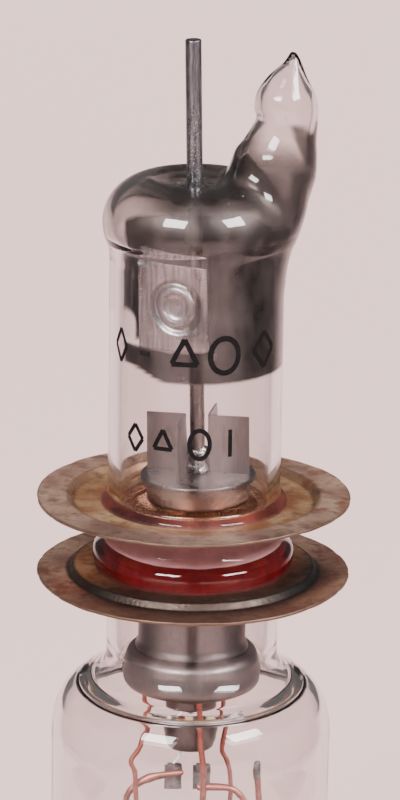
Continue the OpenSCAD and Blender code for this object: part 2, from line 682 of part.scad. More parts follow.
module left_hook_lead() {
    color("salmon") lead([[-0.63, 0, 0], [-0.92, -0.04, 0.12], [-0.95, -0.12, 0.31], [-0.9, -0.14, 0.38],
        [-0.77, -0.14, 0.435], [-0.52, -0.14, 0.465], [-0.12, -0.14, 0.49]], thick_lead_d);
}
module right_hook_lead() {
    color("salmon") lead([[0.45, 0, 0], [0.74, -0.04, 0.1], [0.83, -0.12, 0.24], [0.82, -0.14, 0.32],
        [0.74, -0.14, 0.375], [0.58, -0.14, 0.415], [0.13, -0.14, 0.415]], thick_lead_d);
}
module stub_lead() {
    color("salmon") lead([[0.64, 0, 0], [0.96, -0.02, 0.14], [1.04, -0.05, 0.3], [1.02, -0.05, 0.42],
        [1.01, -0.05, 0.53]], thick_lead_d);
}
module heater_clips() {
    color("dimgray") for (x = clip_x) translate([x - clip_w / 2, clip_back, clip_z - clip_h / 2])
        cube([clip_w, clip_t, clip_h]);
}
pin_lead_rise = press_bottom - base_pin_top;
pin_angles = [for (i = [0 : pin_count - 1]) (i + 0.5) * 360 / pin_count];
module pin_leads() {
    wire_d = 0.4;
    color("goldenrod") for (a = pin_angles) {
        foot = pin_circle_r * [cos(a), sin(a)];
        head = 2.6 * [cos(a), 0.35 * sin(a)];
        wire(spline([[foot[0], foot[1], base_pin_top - 0.6], [foot[0], foot[1], base_pin_top],
                     [foot[0] * 0.86, foot[1] * 0.86, base_pin_top + 0.5],
                     [foot[0] * 0.45, foot[1] * 0.45, base_pin_top + pin_lead_rise * 0.25],
                     [head[0], head[1], base_pin_top + pin_lead_rise * 0.55],
                     [head[0], head[1], press_bottom]], 2), wire_d, [-sin(a), cos(a), 0.01], 6);
    }
}

// ---- Base ----
module base_cement() {
    color("tan") ring(shell_bore_r, bulb_r, bulb_bottom + 3.5, shell_h - 0.3);
}
module base_shell() {
    top_round = 0.6;
    key_bore = key_d / 2 - 1.3;
    key_tip = -key_l;
    color([0.12, 0.09, 0.08]) difference() {
        union() {
            rotate_extrude() polygon(concat([[key_bore, 0], [shell_r - 0.5, 0], [shell_r, 0.5]],
                arc([shell_r - top_round, shell_h - top_round], top_round, 0, 90, 6),
                [[shell_bore_r, shell_h], [shell_bore_r, floor_t], [key_bore, floor_t]]));
            rotate_extrude() polygon([[0, key_tip], [key_d / 2 - 0.8, key_tip], [key_d / 2, key_tip + 0.8],
                [key_d / 2, 0.1], [key_bore, 0.1], [key_bore, key_tip + 1.5], [0, key_tip + 1.5]]);
            translate([-rib_w / 2, -key_d / 2 - rib_out, key_tip + 1])
                cube([rib_w, rib_out + 1, key_l - 0.9]);
        }
        for (a = pin_angles) rotate([0, 0, a])
            translate([pin_circle_r, 0, -1]) cylinder(r = base_pin_r + pin_shoulder, h = floor_t + 2);
    }
}
module base_pins() {
    color("silver") for (a = pin_angles) rotate([0, 0, a])
        translate([pin_circle_r, 0, 0]) difference() {
            union() {
                translate([0, 0, -base_pin_l]) cylinder(r = base_pin_r, h = base_pin_l);
                cylinder(r = base_pin_r + pin_shoulder, h = base_pin_top);
            }
            translate([0, 0, -pin_bore_l]) cylinder(d = base_pin_bore, h = pin_bore_l + base_pin_top + 2);
        }
}
module pin_solder() {
    color("lightgray") for (a = pin_angles) rotate([0, 0, a])
        translate([pin_circle_r, 0, -base_pin_l]) rotate_extrude() polygon(concat(
            [for (b = [0 : 15 : 90]) [base_pin_r * cos(b), -solder_h * sin(b)]], [[0, 0]]));
}

reflector_pin();
reflector_stem();
rod_seal_bead();
upper_envelope();
exhaust_tip();
getter_plate();
getter_cup();
getter_strap();
reflector_collar();
reflector_cover();
reflector_cup();
fin_bracket_left();
fin_bracket_right();
upper_disc();
upper_outer_bead();
upper_inner_bead();
upper_grid_cone();
upper_grid();
gap_glass();
lower_grid();
lower_grid_cone();
lower_inner_bead();
lower_disc();
lower_outer_bead();
gun_sleeve();
gun_cup();
gun_can();
focus_ring();
cathode_cap();
cathode_sleeve();
gun_insulator();
heater();
neck_glass();
bulb_glass();
stem_flare();
stem_press();
centre_lead();
left_lead();
right_lead();
left_hook_lead();
right_hook_lead();
stub_lead();
heater_clips();
pin_leads();
base_cement();
base_shell();
base_pins();
pin_solder();
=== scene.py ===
"""Looks of a disc-seal reflex klystron: sealed glass, plated discs, electron gun, leads and octal base.

Lengths are in millimetres unless a name says otherwise, and become metres as each mesh is made.
"""

import json
import math

import bmesh
import bpy
import numpy as np
from bpy.props import FloatProperty, FloatVectorProperty, PointerProperty
from mathutils import Matrix, Vector, noise


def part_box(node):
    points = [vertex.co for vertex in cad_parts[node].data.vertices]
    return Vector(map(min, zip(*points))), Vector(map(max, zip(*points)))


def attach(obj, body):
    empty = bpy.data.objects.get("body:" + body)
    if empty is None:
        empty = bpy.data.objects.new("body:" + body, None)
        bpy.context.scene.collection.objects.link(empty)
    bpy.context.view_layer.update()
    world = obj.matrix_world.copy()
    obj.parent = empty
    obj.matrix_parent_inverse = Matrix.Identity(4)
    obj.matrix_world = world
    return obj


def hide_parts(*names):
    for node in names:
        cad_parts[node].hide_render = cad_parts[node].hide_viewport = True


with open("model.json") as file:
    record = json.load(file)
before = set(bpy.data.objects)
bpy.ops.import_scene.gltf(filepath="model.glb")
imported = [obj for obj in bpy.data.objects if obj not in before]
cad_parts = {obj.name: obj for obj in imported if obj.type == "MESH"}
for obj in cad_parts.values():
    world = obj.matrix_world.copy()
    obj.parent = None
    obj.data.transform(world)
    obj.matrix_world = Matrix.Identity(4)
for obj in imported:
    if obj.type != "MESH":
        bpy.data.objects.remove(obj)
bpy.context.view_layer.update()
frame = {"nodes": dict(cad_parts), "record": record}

bl_info = {
    "name": "Disc-Seal Klystron",
    "version": (1, 0, 0),
    "blender": (4, 2, 0),
    "location": "3D View > Sidebar > Klystron",
    "description": "Glass, metalwork, base and studio for a disc-seal reflex klystron",
    "category": "Object",
}

MM = 0.001


# ---- Sizes taken from the frame ----
def low(node, axis=2):
    """Lowest coordinate of a CAD node."""
    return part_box(node)[0][axis] / MM


def high(node, axis=2):
    """Highest coordinate of a CAD node."""
    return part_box(node)[1][axis] / MM


def radii_at(node, height):
    """Smallest and largest radius of a CAD node at one of its own heights."""
    points = np.array([v.co for v in frame["nodes"][node].data.vertices]) / MM
    ring = points[abs(points[:, 2] - height) < 0.03]
    radius = np.hypot(ring[:, 0], ring[:, 1])
    return float(radius.min()), float(radius.max())


LOWER_SEAL = high("lower_disc")
LOWER_UNDER = high("lower_outer_bead")
UPPER_SEAL = low("upper_outer_bead")
UPPER_UNDER = low("upper_disc")
UPPER_RIM = high("upper_disc")
SHEET = UPPER_SEAL - UPPER_UNDER
LOWER_RIM = low("lower_disc") + SHEET
DISC_R = high("upper_disc", 0)
DISC_BORE = radii_at("upper_disc", UPPER_SEAL)[0]
BORE, TUBE = radii_at("upper_envelope", low("upper_envelope"))
CROWN = high("upper_envelope")
DOME_R = high("upper_envelope", 0)
NECK_TOP = high("neck_glass")
BULB_R = high("bulb_glass", 0)
BULB_FOOT = low("bulb_glass")
SLEEVE_R = radii_at("gun_sleeve", low("gun_sleeve"))[1]
CUP_R = high("gun_cup", 0)
CUP_TOP = high("gun_cup")
CUP_FOOT = low("gun_cup")
CAN_R = high("gun_can", 0)
CAN_FOOT = low("gun_can")
PRESS_TOP = high("stem_press")
PRESS_FOOT = low("stem_press")
PRESS_HALF = high("stem_press", 0)
PRESS_DEPTH = high("stem_press", 1) - low("stem_press", 1)
SHELL_R = high("base_shell", 0)
SHELL_TOP = high("base_shell")
KEY_TIP = low("base_shell")
PIN_FOOT = low("base_pins")
PIN_HEAD = high("base_pins")
SOLDER_FOOT = low("pin_solder")
MOUNTS = {mount["name"]: mount for mount in frame["record"]["mounts"]}
BASE_PINS = MOUNTS["base_pins"]["dims"]
KEY_R = MOUNTS["locating_key"]["dims"]["r_mm"]
REFLECTOR_PIN_R = MOUNTS["reflector_pin"]["dims"]["r_mm"]
LEAN = math.atan2(-MOUNTS["reflector_pin"]["axis"][0], MOUNTS["reflector_pin"]["axis"][2])
LEAN_LEVEL = UPPER_SEAL + 18.5
FUSE = 0.08  # How far glass reaches into the metal that it is fused to


# ---- Settings ----
def length(name, default, text):
    """A length setting in millimetres."""
    return FloatProperty(name=name, description=text, default=default, min=0.01, precision=3)


def share(name, default, text):
    """A setting from 0 to 1."""
    return FloatProperty(name=name, description=text, default=default, min=0, max=1, subtype="FACTOR")


def colour(name, default, text):
    """A colour setting, in linear light."""
    return FloatVectorProperty(
        name=name, description=text, default=default, size=3, min=0, max=1, subtype="COLOR"
    )


class GlassSettings(bpy.types.PropertyGroup):
    """Sizes and tints of the glass."""

    mesh_step: length("Mesh Step", 0.3, "Spacing of the points on the blown upper glass, in millimetres")
    shoulder: length("Shoulder Radius", 4.6, "Radius of the dome's shoulder, in millimetres")
    dish: length("Dish Depth", 0.8, "Depth of the dish round the pin, in millimetres")
    seal_bead: length("Pin Bead Radius", 2.4, "Radius of the glass bead round the pin, in millimetres")
    dome_wall: length("Dome Wall", 1.1, "Wall of the dome, in millimetres")
    tip_wall: length("Tip Wall", 0.75, "Wall of the exhaust tip, in millimetres")
    blend: length("Tip Blend", 2.4, "How widely the exhaust tip melts into the dome, in millimetres")
    flare: length("Bead Flare", 0.75, "How far each glass bead spreads on a disc, in millimetres")
    gap_flare: length("Gap Flare", 1.5, "How far the bead on the lower disc spreads, in millimetres")
    neck: length("Neck Height", 7.4, "Straight neck below the lower bead, in millimetres")
    skirt: length("Skirt Height", 8.8, "Height of the skirt from neck to bulb, in millimetres")
    bulb_wall: length("Bulb Wall", 1.1, "Wall of the bulb, in millimetres")
    ridge: length("Seam Ridge", 0.1, "Height of the ridge where neck and bulb are fused, in millimetres")
    fold: length("Seam Fold", 0.9, "How far the glass folds inwards at that seam, in millimetres")
    haze: share("Dome Haze", 0.8, "How much of the light the metal haze in the dome stops")
    tint: colour("Glass Tint", (0.87, 0.845, 0.84), "Colour of the clear glass")
    film: colour("Getter Film", (0.06, 0.047, 0.045), "Colour of the getter's mirror film")


class MetalSettings(bpy.types.PropertyGroup):
    """Sizes and colours of the metalwork."""

    wobble: length("Disc Wobble", 0.1, "How far the discs' rims wander up and down, in millimetres")
    dish_radius: length("Dish Radius", 12.65, "Radius of the pressed step in each disc, in millimetres")
    fin_turn: FloatProperty(
        name="Fin Turn", description="Turn of the fin brackets about the stem", default=math.radians(-12),
        unit="ROTATION",
    )
    flag_turn: FloatProperty(
        name="Getter Turn", description="Turn of the getter plate about the stem", default=math.radians(22),
        unit="ROTATION",
    )
    thick_lead: length("Thick Lead", 0.65, "Diameter of the thick leads, in millimetres")
    thin_lead: length("Thin Lead", 0.5, "Diameter of the thin leads, in millimetres")
    nickel: colour("Nickel", (0.27, 0.23, 0.225), "Colour of the nickel sheet")
    copper: colour("Copper", (0.72, 0.34, 0.22), "Colour of bare copper")
    lead: colour("Lead Copper", (0.4, 0.13, 0.1), "Colour of the copper-clad leads")
    seal_red: colour("Seal Red", (0.125, 0.0015, 0.003), "Colour of the oxide that seals glass to copper")
    # Gap Pink is a painted reflection: the bright room mirrored in the gap glass, painted pale pink on the
    # liner behind it.
    pink_painted_reflection: colour("Gap Pink", (0.8, 0.44, 0.45), "Colour behind the glass between the discs")


class BaseSettings(bpy.types.PropertyGroup):
    """Sizes and colours of the base."""

    rib_width: length("Rib Width", 2.0, "Width of the rib on the key, in millimetres")
    rib_height: length("Rib Height", 1.05, "How far the rib stands out from the key, in millimetres")
    phenolic: colour("Phenolic", (0.005, 0.0035, 0.003), "Colour of the moulded base")
    plating: colour("Pin Plating", (0.62, 0.58, 0.5), "Colour of the plated pins")


class StageSettings(bpy.types.PropertyGroup):
    """Floor, lights and camera."""

    floor: colour("Floor", (0.74, 0.5, 0.475), "Colour of the floor")
    key_power: FloatProperty(name="Key Power", description="Power of each softbox, in watts", default=11)
    fill_power: FloatProperty(name="Fill Power", description="Power of the overhead light, in watts",
                              default=58)
    sky: FloatProperty(name="Room Light", description="Strength of the room's own light", default=0.16)
    distance: FloatProperty(
        name="Camera Distance", description="From the camera to the tube", default=0.4, unit="LENGTH"
    )
    elevation: FloatProperty(
        name="Camera Elevation", description="Height of the camera as an angle", default=math.radians(17),
        unit="ROTATION",
    )
    roll: FloatProperty(
        name="Camera Roll", description="Tilt of the camera about its view", default=math.radians(0.83),
        unit="ROTATION",
    )
    lens: FloatProperty(name="Lens", description="Focal length of the camera, in millimetres", default=180)
    aim: FloatVectorProperty(
        name="Camera Aim", description="Point in the middle of the view", default=(0.00048, 0, 0.068),
        subtype="TRANSLATION",
    )


def settings(group):
    """One of the tube's groups of settings in this scene."""
    return getattr(bpy.context.scene, "klystron_" + group)


# ---- Outlines and point lists ----
def arc(centre, radius, start, end, steps=12):
    """Points along an arc, with its angles in degrees."""
    angles = np.radians(np.linspace(start, end, steps + 1))
    return [(centre[0] + radius * math.cos(a), centre[1] + radius * math.sin(a)) for a in angles]


def rounded(points, radius, steps=5):
    """A closed outline with its corners rounded, as far as its sides leave room."""
    points = [np.array(p, float) for p in points]
    outline = []
    for before, corner, after in zip(points[-1:] + points[:-1], points, points[1:] + points[:1]):
        back, on = before - corner, after - corner
        reach = min(radius, 0.45 * np.linalg.norm(back), 0.45 * np.linalg.norm(on))
        first = corner + reach * back / np.linalg.norm(back)
        last = corner + reach * on / np.linalg.norm(on)
        for t in np.linspace(0, 1, steps):
            outline.append(tuple((1 - t) ** 2 * first + 2 * t * (1 - t) * corner + t * t * last))
    return outline


def spline(points, steps=6):
    """A smooth curve through given points of any dimension."""
    points = np.array(points, float)
    padded = np.vstack([points[:1], points, points[-1:]])
    curve = []
    for p0, p1, p2, p3 in zip(padded, padded[1:], padded[2:], padded[3:]):
        for t in np.arange(steps) / steps:
            curve.append(0.5 * (2 * p1 + (p2 - p0) * t + (2 * p0 - 5 * p1 + 4 * p2 - p3) * t * t
                                + (3 * p1 - p0 - 3 * p2 + p3) * t ** 3))
    return np.array(curve + [points[-1]])


def offset(outline, amount):
    """An open outline moved sideways by amount, to the right of its direction."""
    outline = np.array(outline, float)
    run = np.gradient(outline, axis=0)
    run /= np.linalg.norm(run, axis=1)[:, None]
    side = np.stack([run[:, 1], -run[:, 0]], axis=1)
    return outline + np.asarray(amount).reshape(-1, 1) * side


def smooth(value):
    """A step from 0 to 1 with soft ends."""
    value = np.clip(value, 0, 1)
    return value * value * (3 - 2 * value)


def leaning(points):
    """Points turned with the reflector's leaning stem."""
    points = np.array(points, float)
    rise = points[:, 2] - LEAN_LEVEL
    x = points[:, 0] * math.cos(LEAN) - rise * math.sin(LEAN)
    z = points[:, 0] * math.sin(LEAN) + rise * math.cos(LEAN) + LEAN_LEVEL
    return np.stack([x, points[:, 1], z], axis=1)


def rumpled(points, depth, size, seed=0.0):
    """Points moved by smooth noise, for hand-made and dented surfaces."""
    moved = []
    for point in points:
        place = Vector(point) / size + Vector((seed, seed, seed))
        moved.append(Vector(point) + depth * noise.noise_vector(place))
    return np.array([tuple(p) for p in moved])


# ---- Meshes ----
def add_piece(name, points, faces, material, slot, *nodes, sharp=40, casts=True):
    """Adds a piece to the tube, riding on its body and standing for CAD nodes."""
    mesh = bpy.data.meshes.new(name)
    mesh.from_pydata((np.array(points, float) * MM).tolist(), [], [list(face) for face in faces])
    work = bmesh.new()
    work.from_mesh(mesh)
    bmesh.ops.recalc_face_normals(work, faces=work.faces)
    work.to_mesh(mesh)
    work.free()
    mesh.polygons.foreach_set("use_smooth", [True] * len(mesh.polygons))
    if sharp:
        mesh.set_sharp_from_angle(angle=math.radians(sharp))
    mesh.materials.append(material)
    piece = bpy.data.objects.new(name, mesh)
    bpy.context.scene.collection.objects.link(piece)
    piece.visible_shadow = casts
    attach(piece, "root")
    if nodes:
        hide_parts(*nodes)
    return piece


def join(*parts):
    """Several (points, faces) pairs as one."""
    points, faces = [], []
    for part_points, part_faces in parts:
        start = len(points)
        points.extend([tuple(p) for p in part_points])
        faces.extend([[start + i for i in face] for face in part_faces])
    return points, faces


def loft(rings, closed=False, caps=True):
    """Rings of points joined into a skin; a ring of one point is a pole."""
    points = [tuple(p) for ring in rings for p in ring]
    starts = np.cumsum([0] + [len(ring) for ring in rings])
    pairs = list(zip(range(len(rings) - 1), range(1, len(rings))))
    if closed:
        pairs.append((len(rings) - 1, 0))
    faces = []
    for a, b in pairs:
        count = max(len(rings[a]), len(rings[b]))
        for i in range(count):
            corner = [(a, i), (a, i + 1), (b, i + 1), (b, i)]
            face = [int(starts[r]) + k % len(rings[r]) for r, k in corner]
            kept = [v for k, v in enumerate(face) if v not in face[:k]]
            if len(kept) > 2:
                faces.append(kept)
    if caps and not closed:
        for r in (0, len(rings) - 1):
            if len(rings[r]) > 2:
                faces.append([int(starts[r]) + i for i in range(len(rings[r]))])
    return points, faces


def turned(outline, sides=160, closed=True):
    """An outline of (radius, height) points turned about the tube's axis."""
    angles = np.arange(sides) * 2 * math.pi / sides
    rings = []
    for radius, height in outline:
        if radius < 1e-6:
            rings.append([(0, 0, height)])
        else:
            rings.append([(radius * math.cos(a), radius * math.sin(a), height) for a in angles])
    return loft(rings, closed=closed, caps=False)


def swept(path, radii, sides=14, round_ends=True):
    """A round wire along a path, with a radius at each of its points."""
    path = np.array(path, float)
    radii = np.broadcast_to(np.asarray(radii, float), len(path))
    run = np.gradient(path, axis=0)
    run /= np.linalg.norm(run, axis=1)[:, None]
    across = np.cross(run[0], (0.3, 1, 0.2))
    rings = []
    for point, way, radius in zip(path, run, radii):
        across = across - way * (across @ way)
        across /= np.linalg.norm(across)
        other = np.cross(way, across)
        angles = np.arange(sides) * 2 * math.pi / sides
        rings.append([point + radius * (math.cos(a) * across + math.sin(a) * other) for a in angles])
    if round_ends:
        first, last = np.mean(rings[0], axis=0), np.mean(rings[-1], axis=0)
        head = first - run[0] * radii[0] * 0.6
        tail = last + run[-1] * radii[-1] * 0.6
        shrunk = [first + (np.array(p) - first) * 0.7 - run[0] * radii[0] * 0.4 for p in rings[0]]
        closing = [last + (np.array(p) - last) * 0.7 + run[-1] * radii[-1] * 0.4 for p in rings[-1]]
        rings = [[head], shrunk] + rings + [closing, [tail]]
    return loft(rings, caps=not round_ends)


def strip(path, thickness, z_values, relief=None):
    """An upright sheet that follows a plan path; relief moves its points along the sheet's normal."""
    path = np.array(path, float)
    run = np.gradient(path, axis=0)
    run /= np.linalg.norm(run, axis=1)[:, None]
    side = np.stack([run[:, 1], -run[:, 0]], axis=1)
    rings = []
    for z_index, z in enumerate(z_values):
        lift = np.zeros(len(path)) if relief is None else relief[z_index]
        front = [(*(p + s * (thickness / 2 + h)), z) for p, s, h in zip(path, side, lift)]
        back = [(*(p + s * (h - thickness / 2)), z) for p, s, h in zip(path, side, lift)]
        rings.append(front + back[::-1])
    points = [p for ring in rings for p in ring]
    count, last = len(rings[0]), len(rings) - 1
    faces = []
    for r in range(last):
        for i in range(count):
            j = (i + 1) % count
            faces.append([r * count + i, r * count + j, (r + 1) * count + j, (r + 1) * count + i])
    for r in (0, last):
        for i in range(len(path) - 1):
            faces.append([r * count + i, r * count + i + 1, r * count + count - 2 - i,
                          r * count + count - 1 - i])
    return points, faces


def skin_of(field, radii, heights, sides):
    """The surface where a field is zero, found on a grid of radii, angles and heights round the axis."""
    turn = 2 * math.pi / sides
    axes = [np.asarray(radii), np.arange(sides) * turn, np.asarray(heights)]
    r, angle, z = np.meshgrid(*axes, indexing="ij")
    values = field(r * np.cos(angle), r * np.sin(angle), z)
    cells = (len(radii) - 1, sides, len(heights) - 1)
    total, count = np.zeros(cells + (3,)), np.zeros(cells)
    crossings = []
    for axis in range(3):
        first, last = values, np.roll(values, -1, axis=axis)
        crossed = (first < 0) != (last < 0)
        for other in (0, 2):
            edges = [slice(None)] * 3
            edges[other] = -1 if other == axis else [0, -1]
            crossed[tuple(edges)] = False
        spots = np.nonzero(crossed)
        place = [axes[d][spots[d]] for d in range(3)]
        gap = turn if axis == 1 else np.diff(axes[axis], append=axes[axis][-1])[spots[axis]]
        place[axis] = place[axis] + gap * first[spots] / (first[spots] - last[spots])
        point = np.stack([place[0] * np.cos(place[1]), place[0] * np.sin(place[1]), place[2]], axis=1)
        b, c = [d for d in range(3) if d != axis]
        around = []
        for shift in ((-1, -1), (0, -1), (0, 0), (-1, 0)):
            cell = [spots[d].copy() for d in range(3)]
            cell[b] += shift[0]
            cell[c] += shift[1]
            cell[1] %= sides
            np.add.at(total, tuple(cell), point)
            np.add.at(count, tuple(cell), 1)
            around.append(np.ravel_multi_index(tuple(cell), cells))
        crossings.append(np.stack(around, axis=1))
    used = np.flatnonzero(count)
    index = np.full(count.size, -1)
    index[used] = np.arange(len(used))
    points = total.reshape(-1, 3)[used] / count.ravel()[used][:, None]
    quads = index[np.vstack(crossings)]
    return settled(points, quads, field), quads


def settled(points, quads, field, rounds=3, reach=0.02):
    """Points evened out along a field's surface and brought back onto it."""
    ends = np.vstack([quads[:, [0, 1]], quads[:, [1, 2]], quads[:, [2, 3]], quads[:, [3, 0]]])
    ends = np.vstack([ends, ends[:, ::-1]])
    weight = np.bincount(ends[:, 0], minlength=len(points))[:, None]
    for turn in range(rounds + 3):
        if turn < rounds:
            total = np.zeros_like(points)
            np.add.at(total, ends[:, 0], points[ends[:, 1]])
            points = 0.5 * points + 0.5 * total / weight
        slope = np.zeros_like(points)
        for axis in range(3):
            step = np.zeros(3)
            step[axis] = reach
            front_shade = field(*(points + step).T)
            slope[:, axis] = (front_shade - field(*(points - step).T)) / (2 * reach)
        size = np.maximum((slope ** 2).sum(axis=1), 0.05)
        points = points - np.clip(field(*points.T) / size, -0.3, 0.3)[:, None] * slope
    return points


# ---- Blown upper glass ----
def melted(a, b, width):
    """The union of two fields with its joint filled over a width."""
    part = np.clip(0.5 + 0.5 * (b - a) / width, 0, 1)
    return b * (1 - part) + a * part - width * part * (1 - part)


def common(a, b, width):
    """The intersection of two fields with its edge rounded."""
    return -melted(-a, -b, width)


def profile_field(outline, step=0.08):
    """Distance to a turned outline, as a function of radius and height; it is negative inside."""
    outline = np.array(outline, float)
    widest, highest = 18, CROWN + 16
    radii = np.arange(0, widest, step)
    heights = np.arange(UPPER_SEAL - 3, highest, step)
    r, z = np.meshgrid(radii, heights, indexing="ij")
    nearest = np.full(r.shape, 1e9)
    crossings = np.zeros(r.shape, int)
    for (r0, z0), (r1, z1) in zip(outline, outline[1:]):
        along = ((r - r0) * (r1 - r0) + (z - z0) * (z1 - z0)) / ((r1 - r0) ** 2 + (z1 - z0) ** 2)
        along = np.clip(along, 0, 1)
        nearest = np.minimum(nearest, np.hypot(r - r0 - along * (r1 - r0), z - z0 - along * (z1 - z0)))
        if z0 != z1:
            beside = (z0 > z) != (z1 > z)
            crossings += beside & (r < r0 + (z - z0) * (r1 - r0) / (z1 - z0))
    table = np.where(crossings % 2 == 1, -nearest, nearest)

    def field(radius, height):
        i = np.clip(radius / step, 0, len(radii) - 1.001)
        k = np.clip((height - heights[0]) / step, 0, len(heights) - 1.001)
        i0, k0 = i.astype(int), k.astype(int)
        u, v = i - i0, k - k0
        return ((table[i0, k0] * (1 - u) + table[i0 + 1, k0] * u) * (1 - v)
                + (table[i0, k0 + 1] * (1 - u) + table[i0 + 1, k0 + 1] * u) * v)

    return field


def dome_outline(glass):
    """Outline of the dome and tube, from the dish round the pin outwards and down."""
    major = DOME_R - glass.shoulder
    shoulder_z = CROWN - glass.shoulder
    radii = np.linspace(0, major, 40)
    out = np.clip((radii - glass.seal_bead) / (major - glass.seal_bead), 0, 1)
    heights = CROWN - glass.dish * (1 + np.cos(math.pi * out)) / 2
    crest = 0.14 * np.exp(-((radii - 3.2) / 0.4) ** 2)
    groove = 0.16 * np.exp(-((radii - 1.9) / 0.45) ** 2)
    climb = 0.4 * np.exp(-np.maximum(radii - REFLECTOR_PIN_R, 0) / 0.3)
    heights = heights + crest - groove + climb
    foot = -math.degrees(math.acos((TUBE - major) / glass.shoulder))
    shoulder = arc((major, shoulder_z), glass.shoulder, 88, foot + 6, 24)
    waist = (TUBE, shoulder_z + glass.shoulder * math.sin(math.radians(foot)))
    turn = spline([shoulder[-2], shoulder[-1], (waist[0] + 0.08, waist[1] - 0.25), (TUBE, waist[1] - 1.3)], 5)
    return (list(zip(radii, heights)) + shoulder[:-2] + [tuple(p) for p in turn]
            + [(TUBE, UPPER_SEAL - 2.5), (0, UPPER_SEAL - 2.5)])


# Exhaust tip: height over the dome's shoulder centre, centre out from the tube's wall, radius
TIP_RINGS = [(-5.4, -3.4, 2.2), (-2, -2.5, 2.9), (1.5, -1.6, 3.6), (4.2, -1.5, 4.2), (6.9, -1.2, 4.1),
             (8.4, -0.7, 3.6), (10.4, -0.08, 3.02), (11.7, -0.2, 3.1), (13.1, -0.3, 2.85),
             (14.6, -0.15, 1.95), (15.9, 0.3, 1.0), (16.7, 0.4, 0.55), (17.25, 0.35, 0.2)]


def tip_field(glass):
    """Distance to the exhaust tip; it is negative inside."""
    rings = spline([(CROWN - glass.shoulder + h, TUBE + out, r) for h, out, r in TIP_RINGS], 10)
    slope = np.gradient(rings[:, 2], rings[:, 0])

    def field(x, y, z):
        centre = np.interp(z, rings[:, 0], rings[:, 1])
        radius = np.interp(z, rings[:, 0], rings[:, 2])
        steep = np.interp(z, rings[:, 0], slope)
        beside = (np.hypot(x - centre, y) - radius) / np.sqrt(1 + steep ** 2)
        over = np.maximum(z - rings[-1, 0], rings[0, 0] - z)
        return np.where(over > 0, np.hypot(np.maximum(beside, 0), over), beside)

    return field


class UpperGlass:
    """Fields of the upper glass: its outside and the space inside it."""

    def __init__(self, glass):
        self.glass = glass
        self.body = profile_field(dome_outline(glass))
        self.tip = tip_field(glass)
        self.pin_x = -(CROWN - LEAN_LEVEL) * math.tan(LEAN)

    def shape(self, x, y, z):
        """The dome and tube with the tip melted on."""
        centred = smooth((5.5 - np.hypot(x, y)) / 2) * smooth((z - CROWN + 4) / 2)
        radius = np.hypot(x - self.pin_x * centred, y)
        waves = np.sin(1.1 * x + 0.7 * z) * np.sin(0.9 * y + 0.4 * z) + np.sin(0.8 * z + 1.3 * y + 0.6 * x)
        lumps = 0.05 * waves
        near_tip = smooth((x - 3) / 4) * smooth((z - CROWN + 6) / 4)
        return melted(self.body(radius, z), self.tip(x, y, z), self.glass.blend) + lumps * near_tip

    def outside(self, x, y, z):
        """The shape with its bead spread on the disc."""
        rise = np.clip((z - UPPER_SEAL - 0.25) / 0.85, 0, 1)
        spread = self.glass.flare * (1 + np.cos(math.pi * rise)) / 2
        return self.shape(x, y, z) - spread * (z < UPPER_SEAL + 3)

    def space(self, x, y, z):
        """The space inside the glass, less the bead round the pin."""
        shoulder = CROWN - self.glass.shoulder
        wall = np.interp(z, [shoulder - 4, shoulder, CROWN + 0.5, CROWN + 4, CROWN + 9, CROWN + 11.5],
                         [TUBE - BORE, self.glass.dome_wall, 1.0, self.glass.tip_wall, 0.6, 0.42])
        bead = common(np.hypot(x - self.pin_x, y) - self.glass.seal_bead + 0.2, CROWN - 2.6 - z, 0.8)
        return common(self.shape(x, y, z) + wall, -bead, 0.7)

    def wall(self, x, y, z):
        """The glass itself, standing just inside the disc's face so that the two are fused."""
        solid = common(self.outside(x, y, z), -self.space(x, y, z), 0.15)
        return common(solid, UPPER_SEAL - FUSE - z, 0.12)

    def film(self, x, y, z):
        """The film's own surface, just inside the glass."""
        return self.space(x, y, z) - 0.04


def film_amount(points, haze):
    """How much metal film lies at each point of the upper glass's inner wall, from 0 to 1."""
    x, y, z = points.T
    dome = CROWN - 5.8
    lower_edge = UPPER_SEAL + 14.3 + 1.3 * smooth((-2.5 - x) / 4)
    left_edge = -7.8 + 1.1 * smooth((UPPER_SEAL + 20.5 - z) / 3)
    mirror = smooth((z - lower_edge) / 0.35) * smooth((x - left_edge) / 0.4) * (1 - smooth((z - dome) / 1.0))
    window = (y < 0) * smooth((1.15 - x) / 0.2) * smooth((z - UPPER_SEAL - 17.6) / 0.25)
    mirror = mirror * (1 - window)
    side = 0.35 + 0.65 * smooth((x + 7) / 5)
    in_tip = smooth((z - CROWN - 0.5) / 2.5) * smooth((x - 4) / 3)
    cloud = haze * side * smooth((z - dome + 0.2) / 1.0) * (1 - in_tip)
    patch = 0.8 * smooth((x - 9.9 + 0.35 * np.abs(z - CROWN - 1)) / 0.9) * smooth((CROWN + 5.2 - z) / 0.8)
    patch = patch * smooth((z - CROWN + 3) / 2) * smooth((y + 2.8) / 1.2)
    return np.clip(np.maximum(np.maximum(mirror, cloud), patch), 0, 1)


